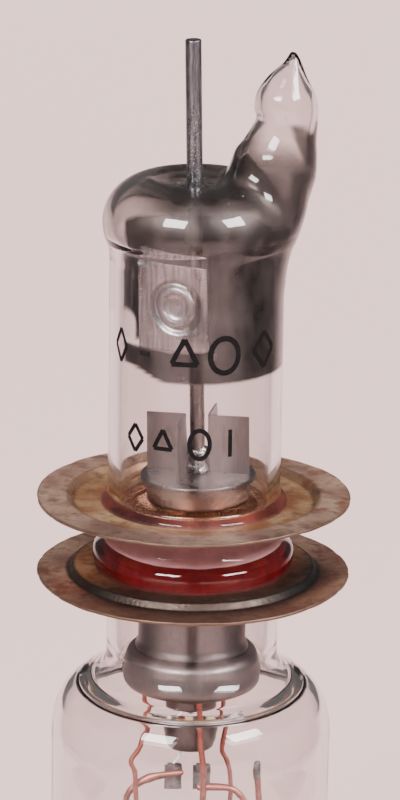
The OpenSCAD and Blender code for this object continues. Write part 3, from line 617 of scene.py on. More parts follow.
# ---- Finishes ----
class Finish:
    """A material put together from nodes around one Principled shader."""

    def __init__(self, name, **sockets):
        self.material = bpy.data.materials.new(name)
        self.material.use_nodes = True
        self.tree = self.material.node_tree
        self.shader = self.tree.nodes["Principled BSDF"]
        self.place = self.node("ShaderNodeTexCoord").outputs["Object"]
        for socket, value in sockets.items():
            self.set(socket.replace("_", " ").title().replace("Ior", "IOR"), value)

    def set(self, socket, value):
        """Sets or links one of the shader's sockets."""
        target = self.shader.inputs[socket]
        if isinstance(value, bpy.types.NodeSocket):
            self.tree.links.new(value, target)
        elif isinstance(value, (int, float)):
            target.default_value = value
        else:
            target.default_value = (*value, 1)

    def node(self, kind, inputs=None, **options):
        """Adds a node, with its inputs set or linked."""
        made = self.tree.nodes.new(kind)
        for key, value in options.items():
            setattr(made, key, value)
        for key, value in (inputs or {}).items():
            if isinstance(value, bpy.types.NodeSocket):
                self.tree.links.new(value, made.inputs[key])
            else:
                made.inputs[key].default_value = value
        return made

    def noise(self, size, detail=4, stretch=(1, 1, 1), rough=0.5):
        """Noise whose features are about size millimetres, drawn out along each axis by stretch."""
        scale = [1 / (size * MM * s) for s in stretch]
        place = self.node("ShaderNodeMapping", {"Vector": self.place, "Scale": scale}).outputs[0]
        inputs = {"Vector": place, "Scale": 1.0, "Detail": detail, "Roughness": rough}
        return self.node("ShaderNodeTexNoise", inputs).outputs["Fac"]

    def number(self, value, low_in, high_in, low_out, high_out):
        """A value moved from one range to another and kept inside it."""
        inputs = {0: value, 1: low_in, 2: high_in, 3: low_out, 4: high_out}
        return self.node("ShaderNodeMapRange", inputs).outputs[0]

    def sum(self, kind, first, second):
        """A plain sum on two values."""
        return self.node("ShaderNodeMath", {0: first, 1: second}, operation=kind).outputs[0]

    def mixed(self, part, first, second):
        """One colour turning into another."""
        ends = [c if isinstance(c, bpy.types.NodeSocket) else (*c, 1) for c in (first, second)]
        return self.node("ShaderNodeMix", {0: part, 6: ends[0], 7: ends[1]}, data_type="RGBA").outputs[2]

    def ranged(self, value, start, end, first, second, most=1):
        """One colour turning into another, up to a share of most, as a value goes from start to end."""
        return self.mixed(self.number(value, start, end, 0, most), first, second)

    def axis(self, letter):
        """One coordinate of the surface, in metres."""
        return self.node("ShaderNodeSeparateXYZ", {0: self.place}).outputs[letter]

    def radius(self):
        """Distance from the tube's axis, in metres."""
        flat = self.node("ShaderNodeVectorMath", {0: self.place, 1: (1, 1, 0)},
                         operation="MULTIPLY").outputs[0]
        return self.node("ShaderNodeVectorMath", {0: flat}, operation="LENGTH").outputs["Value"]

    def bump(self, height, depth, strength=1.0):
        """Bumps of a depth in millimetres on the whole surface."""
        inputs = {"Height": height, "Distance": depth * MM, "Strength": strength}
        self.set("Normal", self.node("ShaderNodeBump", inputs).outputs[0])

    def see_through(self, part):
        """Mixes the surface with clear air: part is how much of the surface is there."""
        output = self.tree.nodes["Material Output"]
        clear = self.node("ShaderNodeBsdfTransparent").outputs[0]
        mix = self.node("ShaderNodeMixShader", {0: part, 1: clear, 2: self.shader.outputs[0]}).outputs[0]
        self.tree.links.new(mix, output.inputs["Surface"])


def clear_glass(name, wave=0.02, wave_size=3.0):
    """Hand-worked clear glass with faint waves and handling marks."""
    tint = settings("glass").tint
    finish = Finish(name, base_color=tint, transmission_weight=1.0, ior=1.48)
    finish.set("Roughness", finish.number(finish.noise(2.5, 5), 0.5, 0.85, 0.0, 0.05))
    finish.bump(finish.noise(wave_size, 1, (1, 1, 3)), wave)
    return finish.material


def getter_film():
    """Dark mirror film with a brown, thinning edge."""
    glass = settings("glass")
    finish = Finish("getter_film", metallic=0.85)
    amount = finish.node("ShaderNodeAttribute", attribute_name="film").outputs["Fac"]
    mottled = finish.noise(1.6, 5, (1, 1, 2.2))
    dark = finish.ranged(mottled, 0.35, 0.7, [0.4 * c for c in glass.film], glass.film)
    thin = finish.number(amount, 0.15, 0.85, 1, 0)
    finish.set("Base Color", finish.mixed(thin, dark, (0.09, 0.06, 0.045)))
    finish.set("Roughness", finish.number(mottled, 0.3, 0.7, 0.3, 0.5))
    finish.bump(finish.noise(4, 1), 0.05)
    patchy = finish.sum("MULTIPLY", amount, finish.number(mottled, 0.2, 0.7, 0.85, 1.1))
    finish.see_through(finish.number(patchy, 0, 1, 0, 1))
    return finish.material


def nickel(name, tone=1.0, grain=(1, 1, 14), rough=0.3, stain=(0.3, 0.2, 0.17), stained=0.35,
           grain_depth=0.006):
    """Drawn nickel sheet: a fine grain one way, soft stains and uneven shine."""
    base = [tone * c for c in settings("metal").nickel]
    finish = Finish(name, metallic=1.0)
    patches = finish.noise(2.4, 5)
    fine = finish.noise(0.12, 3, grain)
    shade = finish.ranged(fine, 0.3, 0.7, [0.8 * c for c in base], base)
    finish.set("Base Color", finish.ranged(patches, 0.45, 0.8, shade, stain, stained))
    finish.set("Roughness", finish.number(patches, 0.3, 0.7, rough * 0.8, rough * 1.3))
    finish.bump(fine, grain_depth)
    return finish.material


def pin_metal():
    """Grey sealing wire: drawn lengthwise, with bright specks that fade out up the pin."""
    finish = Finish("pin_metal", metallic=1.0)
    lines = finish.noise(0.25, 3, (1, 1, 8))
    specks = finish.noise(0.14, 2)
    level = finish.number(finish.axis("Z"), (CROWN + 2) * MM, (CROWN + 9) * MM, 1, 0)
    dull = finish.ranged(lines, 0.35, 0.65, (0.09, 0.082, 0.09), (0.24, 0.22, 0.235))
    bright_specks = finish.sum("MULTIPLY", finish.number(specks, 0.56, 0.66, 0, 1), level)
    finish.set("Base Color", finish.mixed(bright_specks, dull, (0.55, 0.53, 0.54)))
    finish.set("Roughness", finish.number(specks, 0.3, 0.7, 0.3, 0.5))
    finish.bump(finish.sum("ADD", lines, specks), 0.02)
    return finish.material


def tarnished_plate(name, tinted):
    """Silver-plated copper gone pink, gold and brown, with painted shade along the pressed step and on the
    front; tinted adds the dark heat bands of the lower disc and a painted highlight on its step.
    """
    finish = Finish(name, metallic=0.92)
    large, small, grit = finish.noise(4.2, 5), finish.noise(1.5, 6), finish.noise(0.4, 4)
    radius = finish.radius()
    dish = settings("metal").dish_radius * MM
    rim = finish.number(radius, dish - 0.3 * MM, dish + 0.3 * MM, 0, 1)
    centre = finish.ranged(large, 0.38, 0.62, (0.34, 0.14, 0.06), (0.58, 0.36, 0.2))
    outer = finish.ranged(large, 0.38, 0.62, (0.38, 0.2, 0.155), (0.66, 0.42, 0.3))
    body = finish.mixed(rim, centre, outer)
    body = finish.ranged(small, 0.52, 0.68, body, (0.08, 0.045, 0.035), 0.65)
    body = finish.ranged(finish.noise(2.6, 3), 0.56, 0.7, body, (0.27, 0.075, 0.035), 0.7)
    body = finish.ranged(finish.noise(1.7, 4), 0.6, 0.72, body, (0.36, 0.28, 0.2), 0.5)
    body = finish.ranged(grit, 0.6, 0.72, body, (0.03, 0.02, 0.017), 0.5)
    edge = finish.number(radius, (DISC_R - 0.22) * MM, (DISC_R - 0.05) * MM, 0, 0.7)
    body = finish.mixed(edge, body, (0.14, 0.11, 0.08))
    # Painted shade: a dark line along the pressed step, where its lip shades the sheet.
    step = finish.sum("SUBTRACT", radius, dish)
    slope = finish.sum("ABSOLUTE", finish.sum("ADD", step, 0.22 * MM), 0.0)
    seam = finish.number(slope, 0.25 * MM, 0.6 * MM, 0.9 if tinted else 0.6, 0)
    if tinted:
        front = finish.sum("SUBTRACT", finish.sum("MULTIPLY", finish.axis("X"), 0.45), finish.axis("Y"))
        wander = finish.number(large, 0.3, 0.7, -2 * MM, 2 * MM)
        near = finish.number(finish.sum("ADD", front, wander), -MM, 6 * MM, 0, 1)
        first_band, last_band = 9.8 * MM, 15.8 * MM
        ramp = finish.node("ShaderNodeValToRGB", {0: finish.number(radius, first_band, last_band, 0, 1)})
        # Heat tint bands, except the pale band at 0.44, which is a painted highlight on the pressed step.
        heat_bands_and_highlight = [(0.0, (0.1, 0.06, 0.035)), (0.1, (0.03, 0.022, 0.015)), (0.28, (0.01, 0.014, 0.012)),
                 (0.38, (0.008, 0.03, 0.04)), (0.44, (0.12, 0.1, 0.07)), (0.48, (0.01, 0.014, 0.03)),
                 (0.54, (0.04, 0.02, 0.02)), (0.75, (0.1, 0.04, 0.025)), (1.0, (0.28, 0.16, 0.1))]
        ramp.color_ramp.elements[0].color = (*heat_bands_and_highlight[0][1], 1)
        ramp.color_ramp.elements[1].color = (*heat_bands_and_highlight[-1][1], 1)
        for position, band in heat_bands_and_highlight[1:-1]:
            ramp.color_ramp.elements.new(position).color = (*band, 1)
        reach = finish.number(radius, 12.8 * MM, 15.2 * MM, 0.9, 0.35)
        body = finish.mixed(finish.sum("MULTIPLY", near, reach), body, ramp.outputs[0])
    # The step's painted shade goes on here.
    body = finish.mixed(seam, body, (0.02, 0.019, 0.02) if tinted else (0.07, 0.036, 0.026))
    # Painted shade: each disc is darkened across its front, most at the front edge.
    front_shade = finish.number(finish.axis("Y"), -15.2 * MM, -7 * MM, 0.68, 0)
    body = finish.mixed(front_shade, body, (0.1, 0.06, 0.045))
    seal_r = TUBE + (settings("glass").gap_flare if tinted else settings("glass").flare) - 0.1
    seal = finish.number(radius, (seal_r - 0.25) * MM, seal_r * MM, 1, 0)
    if tinted:
        pale = finish.number(radius, (TUBE + 0.25) * MM, (TUBE + 0.55) * MM, 0, 1)
        oxide = finish.mixed(pale, settings("metal").seal_red, (0.22, 0.07, 0.06))
    else:
        oxide = finish.ranged(large, 0.35, 0.65, (0.19, 0.036, 0.022), (0.06, 0.01, 0.009))
    finish.set("Base Color", finish.mixed(seal, body, oxide))
    finish.set("Roughness", finish.number(small, 0.3, 0.7, 0.36, 0.56))
    finish.bump(finish.sum("ADD", small, grit), 0.05)
    return finish.material


def oxide_and_painted_reflection(name, level=None):
    """Copper oxide seen through the seal glass; above a level it turns to a pale pink painted reflection of
    the bright room.
    """
    metal = settings("metal")
    finish = Finish(name, specular_ior_level=0.15)
    cloud = finish.noise(1.4, 4)
    red = finish.ranged(cloud, 0.3, 0.7, [0.6 * c for c in metal.seal_red], metal.seal_red)
    if level is not None:
        wander = finish.number(finish.noise(2.5, 2), 0.3, 0.7, -0.06 * MM, 0.06 * MM)
        height = finish.sum("ADD", finish.axis("Z"), wander)
        # Painted reflection: above the level the liner turns pale pink, standing in for the bright room
        # mirrored in the gap glass.
        pink_reflection = finish.ranged(cloud, 0.3, 0.7, [0.8 * c for c in metal.pink_painted_reflection], metal.pink_painted_reflection)
        red = finish.ranged(height, (level - 0.05) * MM, (level + 0.05) * MM, red, pink_reflection)
    finish.set("Base Color", red)
    finish.set("Roughness", finish.number(cloud, 0.3, 0.7, 0.35, 0.55))
    finish.bump(finish.noise(0.5, 4), 0.03)
    return finish.material


def bright_copper(name, base, rough=0.25):
    """Bare copper with heat-darkened patches."""
    finish = Finish(name, metallic=1.0)
    patches, fine = finish.noise(1.2, 5), finish.noise(0.2, 4)
    shade = finish.ranged(patches, 0.45, 0.75, base, [0.35 * c for c in base], 0.7)
    finish.set("Base Color", finish.ranged(fine, 0.6, 0.75, shade, (0.75, 0.45, 0.36), 0.5))
    finish.set("Roughness", finish.number(fine, 0.3, 0.7, rough, rough * 1.7))
    finish.bump(fine, 0.02)
    return finish.material


def plain_surface(name, base, darker, size, rough, metallic=0.0, depth=0.02, coat=0.0):
    """A surface of two shades with its own fine grain."""
    finish = Finish(name, metallic=metallic, coat_weight=coat)
    large, fine = finish.noise(size, 5), finish.noise(size / 6, 4)
    finish.set("Base Color", finish.ranged(large, 0.35, 0.65, darker, base))
    finish.set("Roughness", finish.number(fine, 0.3, 0.7, rough * 0.8, rough * 1.2))
    finish.bump(fine, depth)
    return finish.material


def dress(node, material):
    """Gives a CAD node its finish."""
    mesh = frame["nodes"][node].data
    if not mesh.materials:
        mesh.materials.append(material)
    for i in range(len(mesh.materials)):
        mesh.materials[i] = material


# ---- Pieces ----
def add_upper_glass():
    """Blows the upper glass with its tip, and lays the getter's film inside it."""
    glass = settings("glass")
    shape = UpperGlass(glass)
    step = glass.mesh_step * 1
    sides = int(2 * math.pi * TUBE / step)
    radii = np.concatenate([np.arange(0.3, BORE - 0.3, step), np.arange(BORE - 0.3, TUBE + 1, step / 2),
                            np.arange(TUBE + 1, high("exhaust_tip", 0) + 1, step)])
    foot = np.arange(UPPER_SEAL - 0.3, UPPER_SEAL + 1.4, step / 3)
    tube = np.arange(foot[-1] + step, high("exhaust_tip") + 1, step)
    points, faces = skin_of(shape.wall, radii, np.concatenate([foot, tube]), sides)
    add_piece("upper_glass", points, faces, clear_glass("upper_clear_glass"), "clear_glass",
              "upper_envelope", "exhaust_tip", "rod_seal_bead", "upper_outer_bead", sharp=None, casts=False)
    points, faces = skin_of(shape.film, radii, tube[tube > UPPER_SEAL + 12], sides)
    amount = film_amount(points, glass.haze)
    shown = amount[faces].max(axis=1) > 0.01
    film = add_piece("getter_film", points, faces[shown], getter_film(), "smoky_glass", sharp=None,
                     casts=False)
    layer = film.data.attributes.new("film", "FLOAT", "POINT")
    layer.data.foreach_set("value", amount.astype(np.float32))


def add_gap_glass():
    """Turns the glass between the discs, with the copper seals that show through it and a painted reflection
    above them.
    """
    glass = settings("glass")
    low_r = TUBE + glass.gap_flare
    foot, head = LOWER_SEAL - FUSE, UPPER_UNDER + FUSE
    bead_r, bead_foot = 1.5, low_r - 0.8
    outer = [(bead_foot, foot)] + arc((low_r - bead_r, LOWER_SEAL + 1.3), bead_r, -60, 40, 14)
    outer += [tuple(p) for p in spline([(TUBE + 0.95, LOWER_SEAL + 2.5), (TUBE + 0.55, LOWER_SEAL + 3.1),
                                        (TUBE + 0.2, LOWER_SEAL + 4), (TUBE + 0.04, UPPER_UNDER - 1),
                                        (TUBE + glass.flare / 2, UPPER_UNDER)], 6)]
    outline = outer + [(TUBE + glass.flare / 2, head), (BORE, head), (BORE, foot)]
    add_piece("gap_glass", *turned(outline), clear_glass("gap_clear_glass"), "gap_glass",
              "gap_glass", "upper_inner_bead", "lower_inner_bead", casts=False)
    # The liner behind the glass is red oxide below and a pale pink painted reflection above.
    near, far = BORE - 0.04, BORE + 0.06
    liner = [(far, UPPER_UNDER), (far, LOWER_SEAL), (near, LOWER_SEAL), (near, UPPER_UNDER)]
    add_piece("gap_liner", *turned(liner), oxide_and_painted_reflection("gap_oxide_and_reflection", LOWER_SEAL + 1.7), "red_seal_glass")


def vessel_outline(glass):
    """Outer outline of neck and bulb, from the lower disc down, and the place of their seam."""
    shoulder = NECK_TOP - glass.neck
    half = (BULB_R - TUBE) / 2
    bulb_top = shoulder - glass.skirt
    bead = [(TUBE + glass.flare * (1 + math.cos(math.pi * t)) / 2, LOWER_UNDER - 0.25 - 0.85 * t)
            for t in np.linspace(0, 1, 9)]
    shares = [(0.03, 0.87), (0.17, 0.75), (0.44, 0.63), (0.69, 0.52), (0.85, 0.39), (0.95, 0.22), (1, 0.03)]
    skirt = [(TUBE, NECK_TOP - 0.3), (TUBE, NECK_TOP - 2), (TUBE, shoulder + 1.4), (TUBE, shoulder)]
    skirt += [(TUBE + 2 * half * out, bulb_top + glass.skirt * up) for out, up in shares]
    skirt += [(BULB_R, bulb_top - glass.skirt * down) for down in (0.2, 0.5, 1, 1.8)]
    skirt += [(BULB_R, BULB_FOOT + 5)]
    outline = [(TUBE + glass.flare, LOWER_UNDER + FUSE), (TUBE + glass.flare, LOWER_UNDER)] + bead
    outline = outline + [tuple(p) for p in spline(skirt, 8)]
    outline = np.array(outline + arc((BULB_R - 3, BULB_FOOT + 3), 3, 0, -90, 10))
    seam = np.array((TUBE + 0.88 * half, bulb_top + glass.skirt * 0.63))
    return outline, seam


def add_bulb():
    """Turns neck and bulb as one vessel with a ridge at their seam."""
    glass = settings("glass")
    outline, seam = vessel_outline(glass)
    near = np.exp(-(np.linalg.norm(outline - seam, axis=1) / 0.5) ** 2)
    wall = np.interp(outline[:, 1], [seam[1] - 3, seam[1]], [glass.bulb_wall, TUBE - BORE])
    inner = offset(outline, wall + glass.fold * near)
    inner[:, 0] = np.where(outline[:, 1] > NECK_TOP - 2, BORE, inner[:, 0])
    inner[0, 1] = LOWER_UNDER + FUSE
    outer = offset(outline, -glass.ridge * near)
    loop = [tuple(p) for p in outer] + [tuple(p) for p in inner[::-1]]
    add_piece("bulb", *turned(loop, 192), clear_glass("bulb_clear_glass", 0.03, 4.0), "clear_glass",
              "neck_glass", "bulb_glass", "lower_outer_bead", sharp=50, casts=False)
    line = offset(outline, (wall + glass.fold) * 0.93)
    k = int(np.argmax(near))
    ring = arc(tuple(line[k]), 0.07, 0, 315, 7)
    add_piece("seam_line", *turned(ring, 192), seam_brown(), "smoky_glass", casts=False)


def seam_brown():
    """Thin brown line in the seam, strongest at the front and fading behind."""
    finish = Finish("seam_brown", roughness=0.4)
    patches = finish.noise(2.2, 3)
    finish.set("Base Color", finish.ranged(patches, 0.3, 0.7, (0.08, 0.045, 0.035), (0.24, 0.13, 0.08)))
    finish.bump(patches, 0.02)
    front = finish.number(finish.axis("Y"), -10.5 * MM, MM, 0.7, 0.1)
    finish.see_through(finish.sum("MULTIPLY", front, finish.number(patches, 0.35, 0.6, 0.45, 1)))
    return finish.material


def add_stem_glass():
    """Lofts the stem: a funnel turned up inside the bulb and pinched round the leads."""
    sides = 96
    angles = np.arange(sides) * 2 * math.pi / sides
    flare_r = BULB_R - 3
    tube_r = 4.5

    def ring(half_width, half_depth, height, power=2.0):
        """A ring between an ellipse and a rounded rectangle."""
        x = np.sign(np.cos(angles)) * abs(np.cos(angles)) ** (2 / power) * half_width
        y = np.sign(np.sin(angles)) * abs(np.sin(angles)) ** (2 / power) * half_depth
        return [(a, b, height) for a, b in zip(x, y)]

    wall = 1.1
    funnel = spline([(flare_r, BULB_FOOT + wall), (flare_r - 2.2, BULB_FOOT + 1.8),
                     (tube_r + 2.2, BULB_FOOT + 4.4), (tube_r + 0.5, BULB_FOOT + 7.6),
                     (tube_r, PRESS_FOOT - 0.6)], 5)
    depth = PRESS_DEPTH / 2
    rings = [ring(r, r, z) for r, z in funnel]
    for t in np.linspace(0.15, 1, 8):
        part = float(smooth(t))
        height = PRESS_FOOT - 0.6 + 2.8 * t
        rings.append(ring(tube_r + (PRESS_HALF - tube_r) * part, tube_r + (depth - tube_r) * part, height,
                          2 + 1.2 * part))
    rings += [ring(PRESS_HALF, depth, PRESS_TOP - 0.8, 3.2),
              ring(PRESS_HALF - 0.1, depth - 0.1, PRESS_TOP - 0.35, 3.2),
              ring(PRESS_HALF - 0.4, depth - 0.4, PRESS_TOP - 0.06, 3), [(0, 0, PRESS_TOP)]]
    inside = [[(0, 0, PRESS_FOOT + 1.2)]]
    inside += [ring((tube_r - 1) * math.sin(a), (tube_r - 1.3) * math.sin(a),
                    PRESS_FOOT - 0.8 + 2 * math.cos(a))
               for a in (0.4, 0.8, 1.2)]
    under = offset(funnel, -0.9 * np.ones(len(funnel)))
    under[0] = (flare_r, BULB_FOOT)
    inside += [ring(r, r, z) for r, z in under[::-1]]
    add_piece("stem_glass", *loft(inside + rings, caps=False), clear_glass("stem_clear_glass", 0.05, 2.0),
              "press_glass", "stem_flare", "stem_press", casts=False)


def add_reflector():
    """Makes the reflector with its pin, stem, weld and fins."""
    metal = settings("metal")
    pin_top = high("reflector_pin")
    pin_foot = CROWN - 3
    pin = rounded([(0, pin_top), (REFLECTOR_PIN_R, pin_top), (REFLECTOR_PIN_R, pin_foot)], 0.16)
    shank = [p for p in pin if p[0] > 0.01 and p[1] > pin_foot + 0.1]
    pin = [(0, pin_top)] + shank + [(REFLECTOR_PIN_R, pin_foot), (0, pin_foot)]
    points, faces = turned(pin, 48, closed=False)
    add_piece("reflector_pin_drawn", leaning(points), faces, pin_metal(), "pin_alloy", "reflector_pin")

    cover_top = low("reflector_collar") + 0.02
    stem_r = 0.75
    stem_top, stem_foot = CROWN - 2.9, cover_top - 0.05
    stem = [(0, stem_top), (stem_r, stem_top), (stem_r, stem_foot), (0, stem_foot)]
    points, faces = turned(stem, 40, closed=False)
    add_piece("reflector_stem_drawn", leaning(points), faces, nickel("stem_nickel", 0.8, rough=0.28),
              "nickel", "reflector_stem")

    collar_h = 2.5
    heights = np.linspace(0, 1, 22)
    lumps = [(1.02 + 0.1 * math.sin(9 * t) + 0.12 * (1 - t), cover_top + collar_h * t) for t in heights]
    outline = [(0.6, cover_top)] + lumps + [(0.76, cover_top + collar_h + 0.15), (0.6, cover_top + collar_h)]
    points, faces = turned(outline, 48)
    add_piece("reflector_weld", rumpled(leaning(points), 0.16, 0.55), faces, weld_metal(), "bright_nickel",
              "reflector_collar")

    cover_r, cup_r = 5.85, 5.2
    sheet = 0.25
    cover = rounded([(0.3, cover_top - sheet), (cup_r, cover_top - sheet), (cover_r, cover_top - 0.5),
                     (cover_r, cover_top), (0.3, cover_top)], 0.2)
    points, faces = turned(cover, 128)
    add_piece("reflector_cover_spun", leaning(points), faces,
              nickel("cover_nickel", 0.6, (1, 1, 1), 0.28, stained=0.3), "bright_nickel", "reflector_cover")
    foot = cover_top - 2.9
    hollow = [((cup_r - 0.9) * (1 - t), foot + 1.2 * (1 - (1 - t) ** 2)) for t in np.linspace(0, 1, 9)]
    cup = [(cup_r, cover_top - 0.44)] + arc((cup_r - 0.5, foot + 0.5), 0.5, 0, -90, 8) + hollow[1:-1]
    cup = cup + [(0.3, foot + 1.2), (0.3, foot + 1.45)] + [(r, z + sheet) for r, z in hollow[-2:0:-1]]
    cup = cup + [(cup_r - 0.6, foot + sheet), (cup_r - sheet, foot + 0.7), (cup_r - sheet, cover_top - 0.44)]
    points, faces = turned(cup, 128)
    add_piece("reflector_cup_spun", leaning(points), faces,
              nickel("cup_nickel", 1.4, (1, 1, 1), 0.22, stained=0.15), "nickel", "reflector_cup")

    fin_h, fin_l, heel = 6.0, 4.1, 1.15
    plan = spline([(heel + fin_l, 0), (heel + 0.5, 0), (heel + 0.08, 0.08), (heel, 0.5), (heel, fin_l)], 6)
    z_values = np.linspace(cover_top, cover_top + fin_h, 13)
    # The left fin gets a far darker tone than the right, 0.36 against 0.75: painted shade on the left fin.
    for name, turn, tone in (("fin_bracket_right", metal.fin_turn, 0.75),
                             ("fin_bracket_left", metal.fin_turn + math.pi, 0.36)):
        rotation = np.array([[math.cos(turn), math.sin(turn)], [-math.sin(turn), math.cos(turn)]])
        relief = [0.05 * np.sin(np.linspace(0, 5, len(plan)) + 0.4 * k) for k in range(len(z_values))]
        points, faces = strip(plan @ rotation, 0.18, z_values, relief)
        piece = add_piece(name + "_bent", leaning(points), faces,
                          nickel(name + "_nickel", tone, rough=0.36, stained=0.25), "nickel", name,
                          sharp=30)
        soften(piece, 0.04)


def soften(piece, width):
    """Bevels a sheet's sharp edges."""
    bevel = piece.modifiers.new("edges", "BEVEL")
    bevel.width = width * MM
    bevel.segments = 2
    bevel.limit_method = "ANGLE"
    bevel.angle_limit = math.radians(50)


def weld_metal():
    """Bright, lumpy weld with dark hollows."""
    finish = Finish("weld_metal", metallic=1.0)
    lumps = finish.noise(0.35, 4)
    finish.set("Base Color", finish.ranged(lumps, 0.38, 0.6, (0.1, 0.085, 0.08), (0.6, 0.57, 0.56)))
    finish.set("Roughness", finish.number(lumps, 0.3, 0.7, 0.3, 0.14))
    finish.bump(lumps, 0.12)
    return finish.material


def add_getter():
    """Presses the getter plate with the ring and dome that hold the getter."""
    metal = settings("metal")
    turn = metal.flag_turn
    edge = np.array((1.1, -1.35))
    way = np.array((-math.cos(turn), math.sin(turn)))
    reach = BORE - 1.4
    along = edge @ way
    width = -along + math.sqrt(along ** 2 - edge @ edge + reach ** 2)
    height, foot = 9.1, UPPER_SEAL + 15.7
    u = np.linspace(0, 1, 170) * width
    v = np.linspace(0, 1, 150) * height
    uu, vv = np.meshgrid(u, v)
    from_middle = np.hypot(uu - width / 2 + 0.4, vv - height * 0.49)
    ring = 0.34 * np.exp(-((from_middle - 2.35) / 0.32) ** 2)
    well = -0.12 * smooth((2.2 - from_middle) / 0.4)
    dome = 0.5 * np.sqrt(np.clip(1 - (from_middle / 1.45) ** 2, 0, 1)) ** 0.8
    bent_corner = 0.25 * smooth((vv - height + 1.0) / 1.0) * smooth((uu - width + 3) / 3)
    curl = 0.12 * np.sin(vv / height * 3.0 + 0.5) + bent_corner
    path = edge + u[:, None] * way
    points, faces = strip(path, 0.14, foot + v, ring + well + dome + curl)
    points = np.array(points)
    outwards, upwards = (points[:, :2] - edge) @ way / width, (points[:, 2] - foot) / height
    points[:, 2] += 0.6 * outwards * upwards
    piece = add_piece("getter_flag", leaning(points), faces, flag_metal(), "bright_nickel",
                      "getter_plate", "getter_cup", sharp=50)
    soften(piece, 0.03)


def flag_metal():
    """Bright sheet with upright rolling marks and dark patches."""
    finish = Finish("flag_metal", metallic=1.0)
    streaks = finish.noise(0.35, 4, (1, 1, 14))
    fine = finish.noise(0.1, 3, (1, 1, 10))
    patches = finish.noise(2.2, 4)
    shade = finish.ranged(streaks, 0.3, 0.7, (0.22, 0.19, 0.19), (0.52, 0.475, 0.485))
    finish.set("Base Color", finish.ranged(patches, 0.5, 0.75, shade, (0.14, 0.11, 0.1), 0.5))
    finish.set("Roughness", finish.number(patches, 0.3, 0.7, 0.22, 0.36))
    finish.bump(finish.sum("ADD", fine, streaks), 0.02)
    return finish.material


def add_discs():
    """Presses the two contact discs, a little out of true."""
    metal = settings("metal")
    dish_r, run = metal.dish_radius, 0.45
    for name, rim, seal, tinted, seed in (
        ("upper_disc", UPPER_RIM, UPPER_SEAL, False, 3.0), ("lower_disc", LOWER_RIM, LOWER_SEAL, True, 8.0)
    ):
        way = 0.1 if rim > seal else -0.1
        outline = rounded([(DISC_BORE, seal), (dish_r - run, seal), (dish_r, rim), (DISC_R, rim),
                           (DISC_R, rim - SHEET), (dish_r + way, rim - SHEET),
                           (dish_r - run + way, seal - SHEET), (DISC_BORE, seal - SHEET)], 0.16, 6)
        points, faces = turned(with_rows(outline, 0.5), 288)
        points = np.array(points)
        radius, angle = np.hypot(points[:, 0], points[:, 1]), np.arctan2(points[:, 1], points[:, 0])
        grown = smooth((radius - dish_r + 1) / 3)
        points[:, 2] += metal.wobble * grown * (np.sin(2 * angle + seed) + 0.5 * np.sin(5 * angle + 2 * seed))
        ripple = np.array([noise.noise(Vector((p[0] / 2.5, p[1] / 2.5, seed))) for p in points])
        points[:, 2] += 0.05 * grown * ripple
        edge = smooth((radius - DISC_R + 0.6) / 0.5)
        nicks = 1 - 0.004 * edge * np.maximum(0, np.sin(17 * angle + seed)) ** 8
        points[:, :2] *= nicks[:, None]
        add_piece(name + "_pressed", points, faces, tarnished_plate(name + "_plating", tinted),
                  "plated_copper", name)


def with_rows(outline, spacing):
    """A closed outline with its long sides cut into shorter ones."""
    rows = []
    for start, end in zip(outline, outline[1:] + outline[:1]):
        count = max(1, int(math.dist(start, end) / spacing))
        rows += [tuple(np.array(start) + (np.array(end) - np.array(start)) * k / count) for k in range(count)]
    return rows


def add_grids():
    """Finishes the copper cones and the grids between the discs."""
    metal = settings("metal")
    cone = bright_copper("cone_copper", metal.copper, 0.18)
    for node in ("upper_grid_cone", "lower_grid_cone"):
        dress(node, cone)
    grid = plain_surface("grid_gold", (0.75, 0.5, 0.2), (0.5, 0.3, 0.12), 0.6, 0.3, 1.0)
    for node in ("upper_grid", "lower_grid"):
        dress(node, grid)
    funnel = [(BORE + 0.05, UPPER_SEAL + 0.05), (BORE - 0.25, UPPER_SEAL + 0.12),
              (DISC_BORE + 0.35, UPPER_SEAL + 0.1), (DISC_BORE + 0.1, UPPER_SEAL - 0.12),
              (DISC_BORE + 0.1, UPPER_SEAL - 0.3), (BORE + 0.05, UPPER_SEAL - 0.2)]
    add_piece("seal_lip", *turned(rounded(funnel, 0.08), 128), cone, "bright_copper")


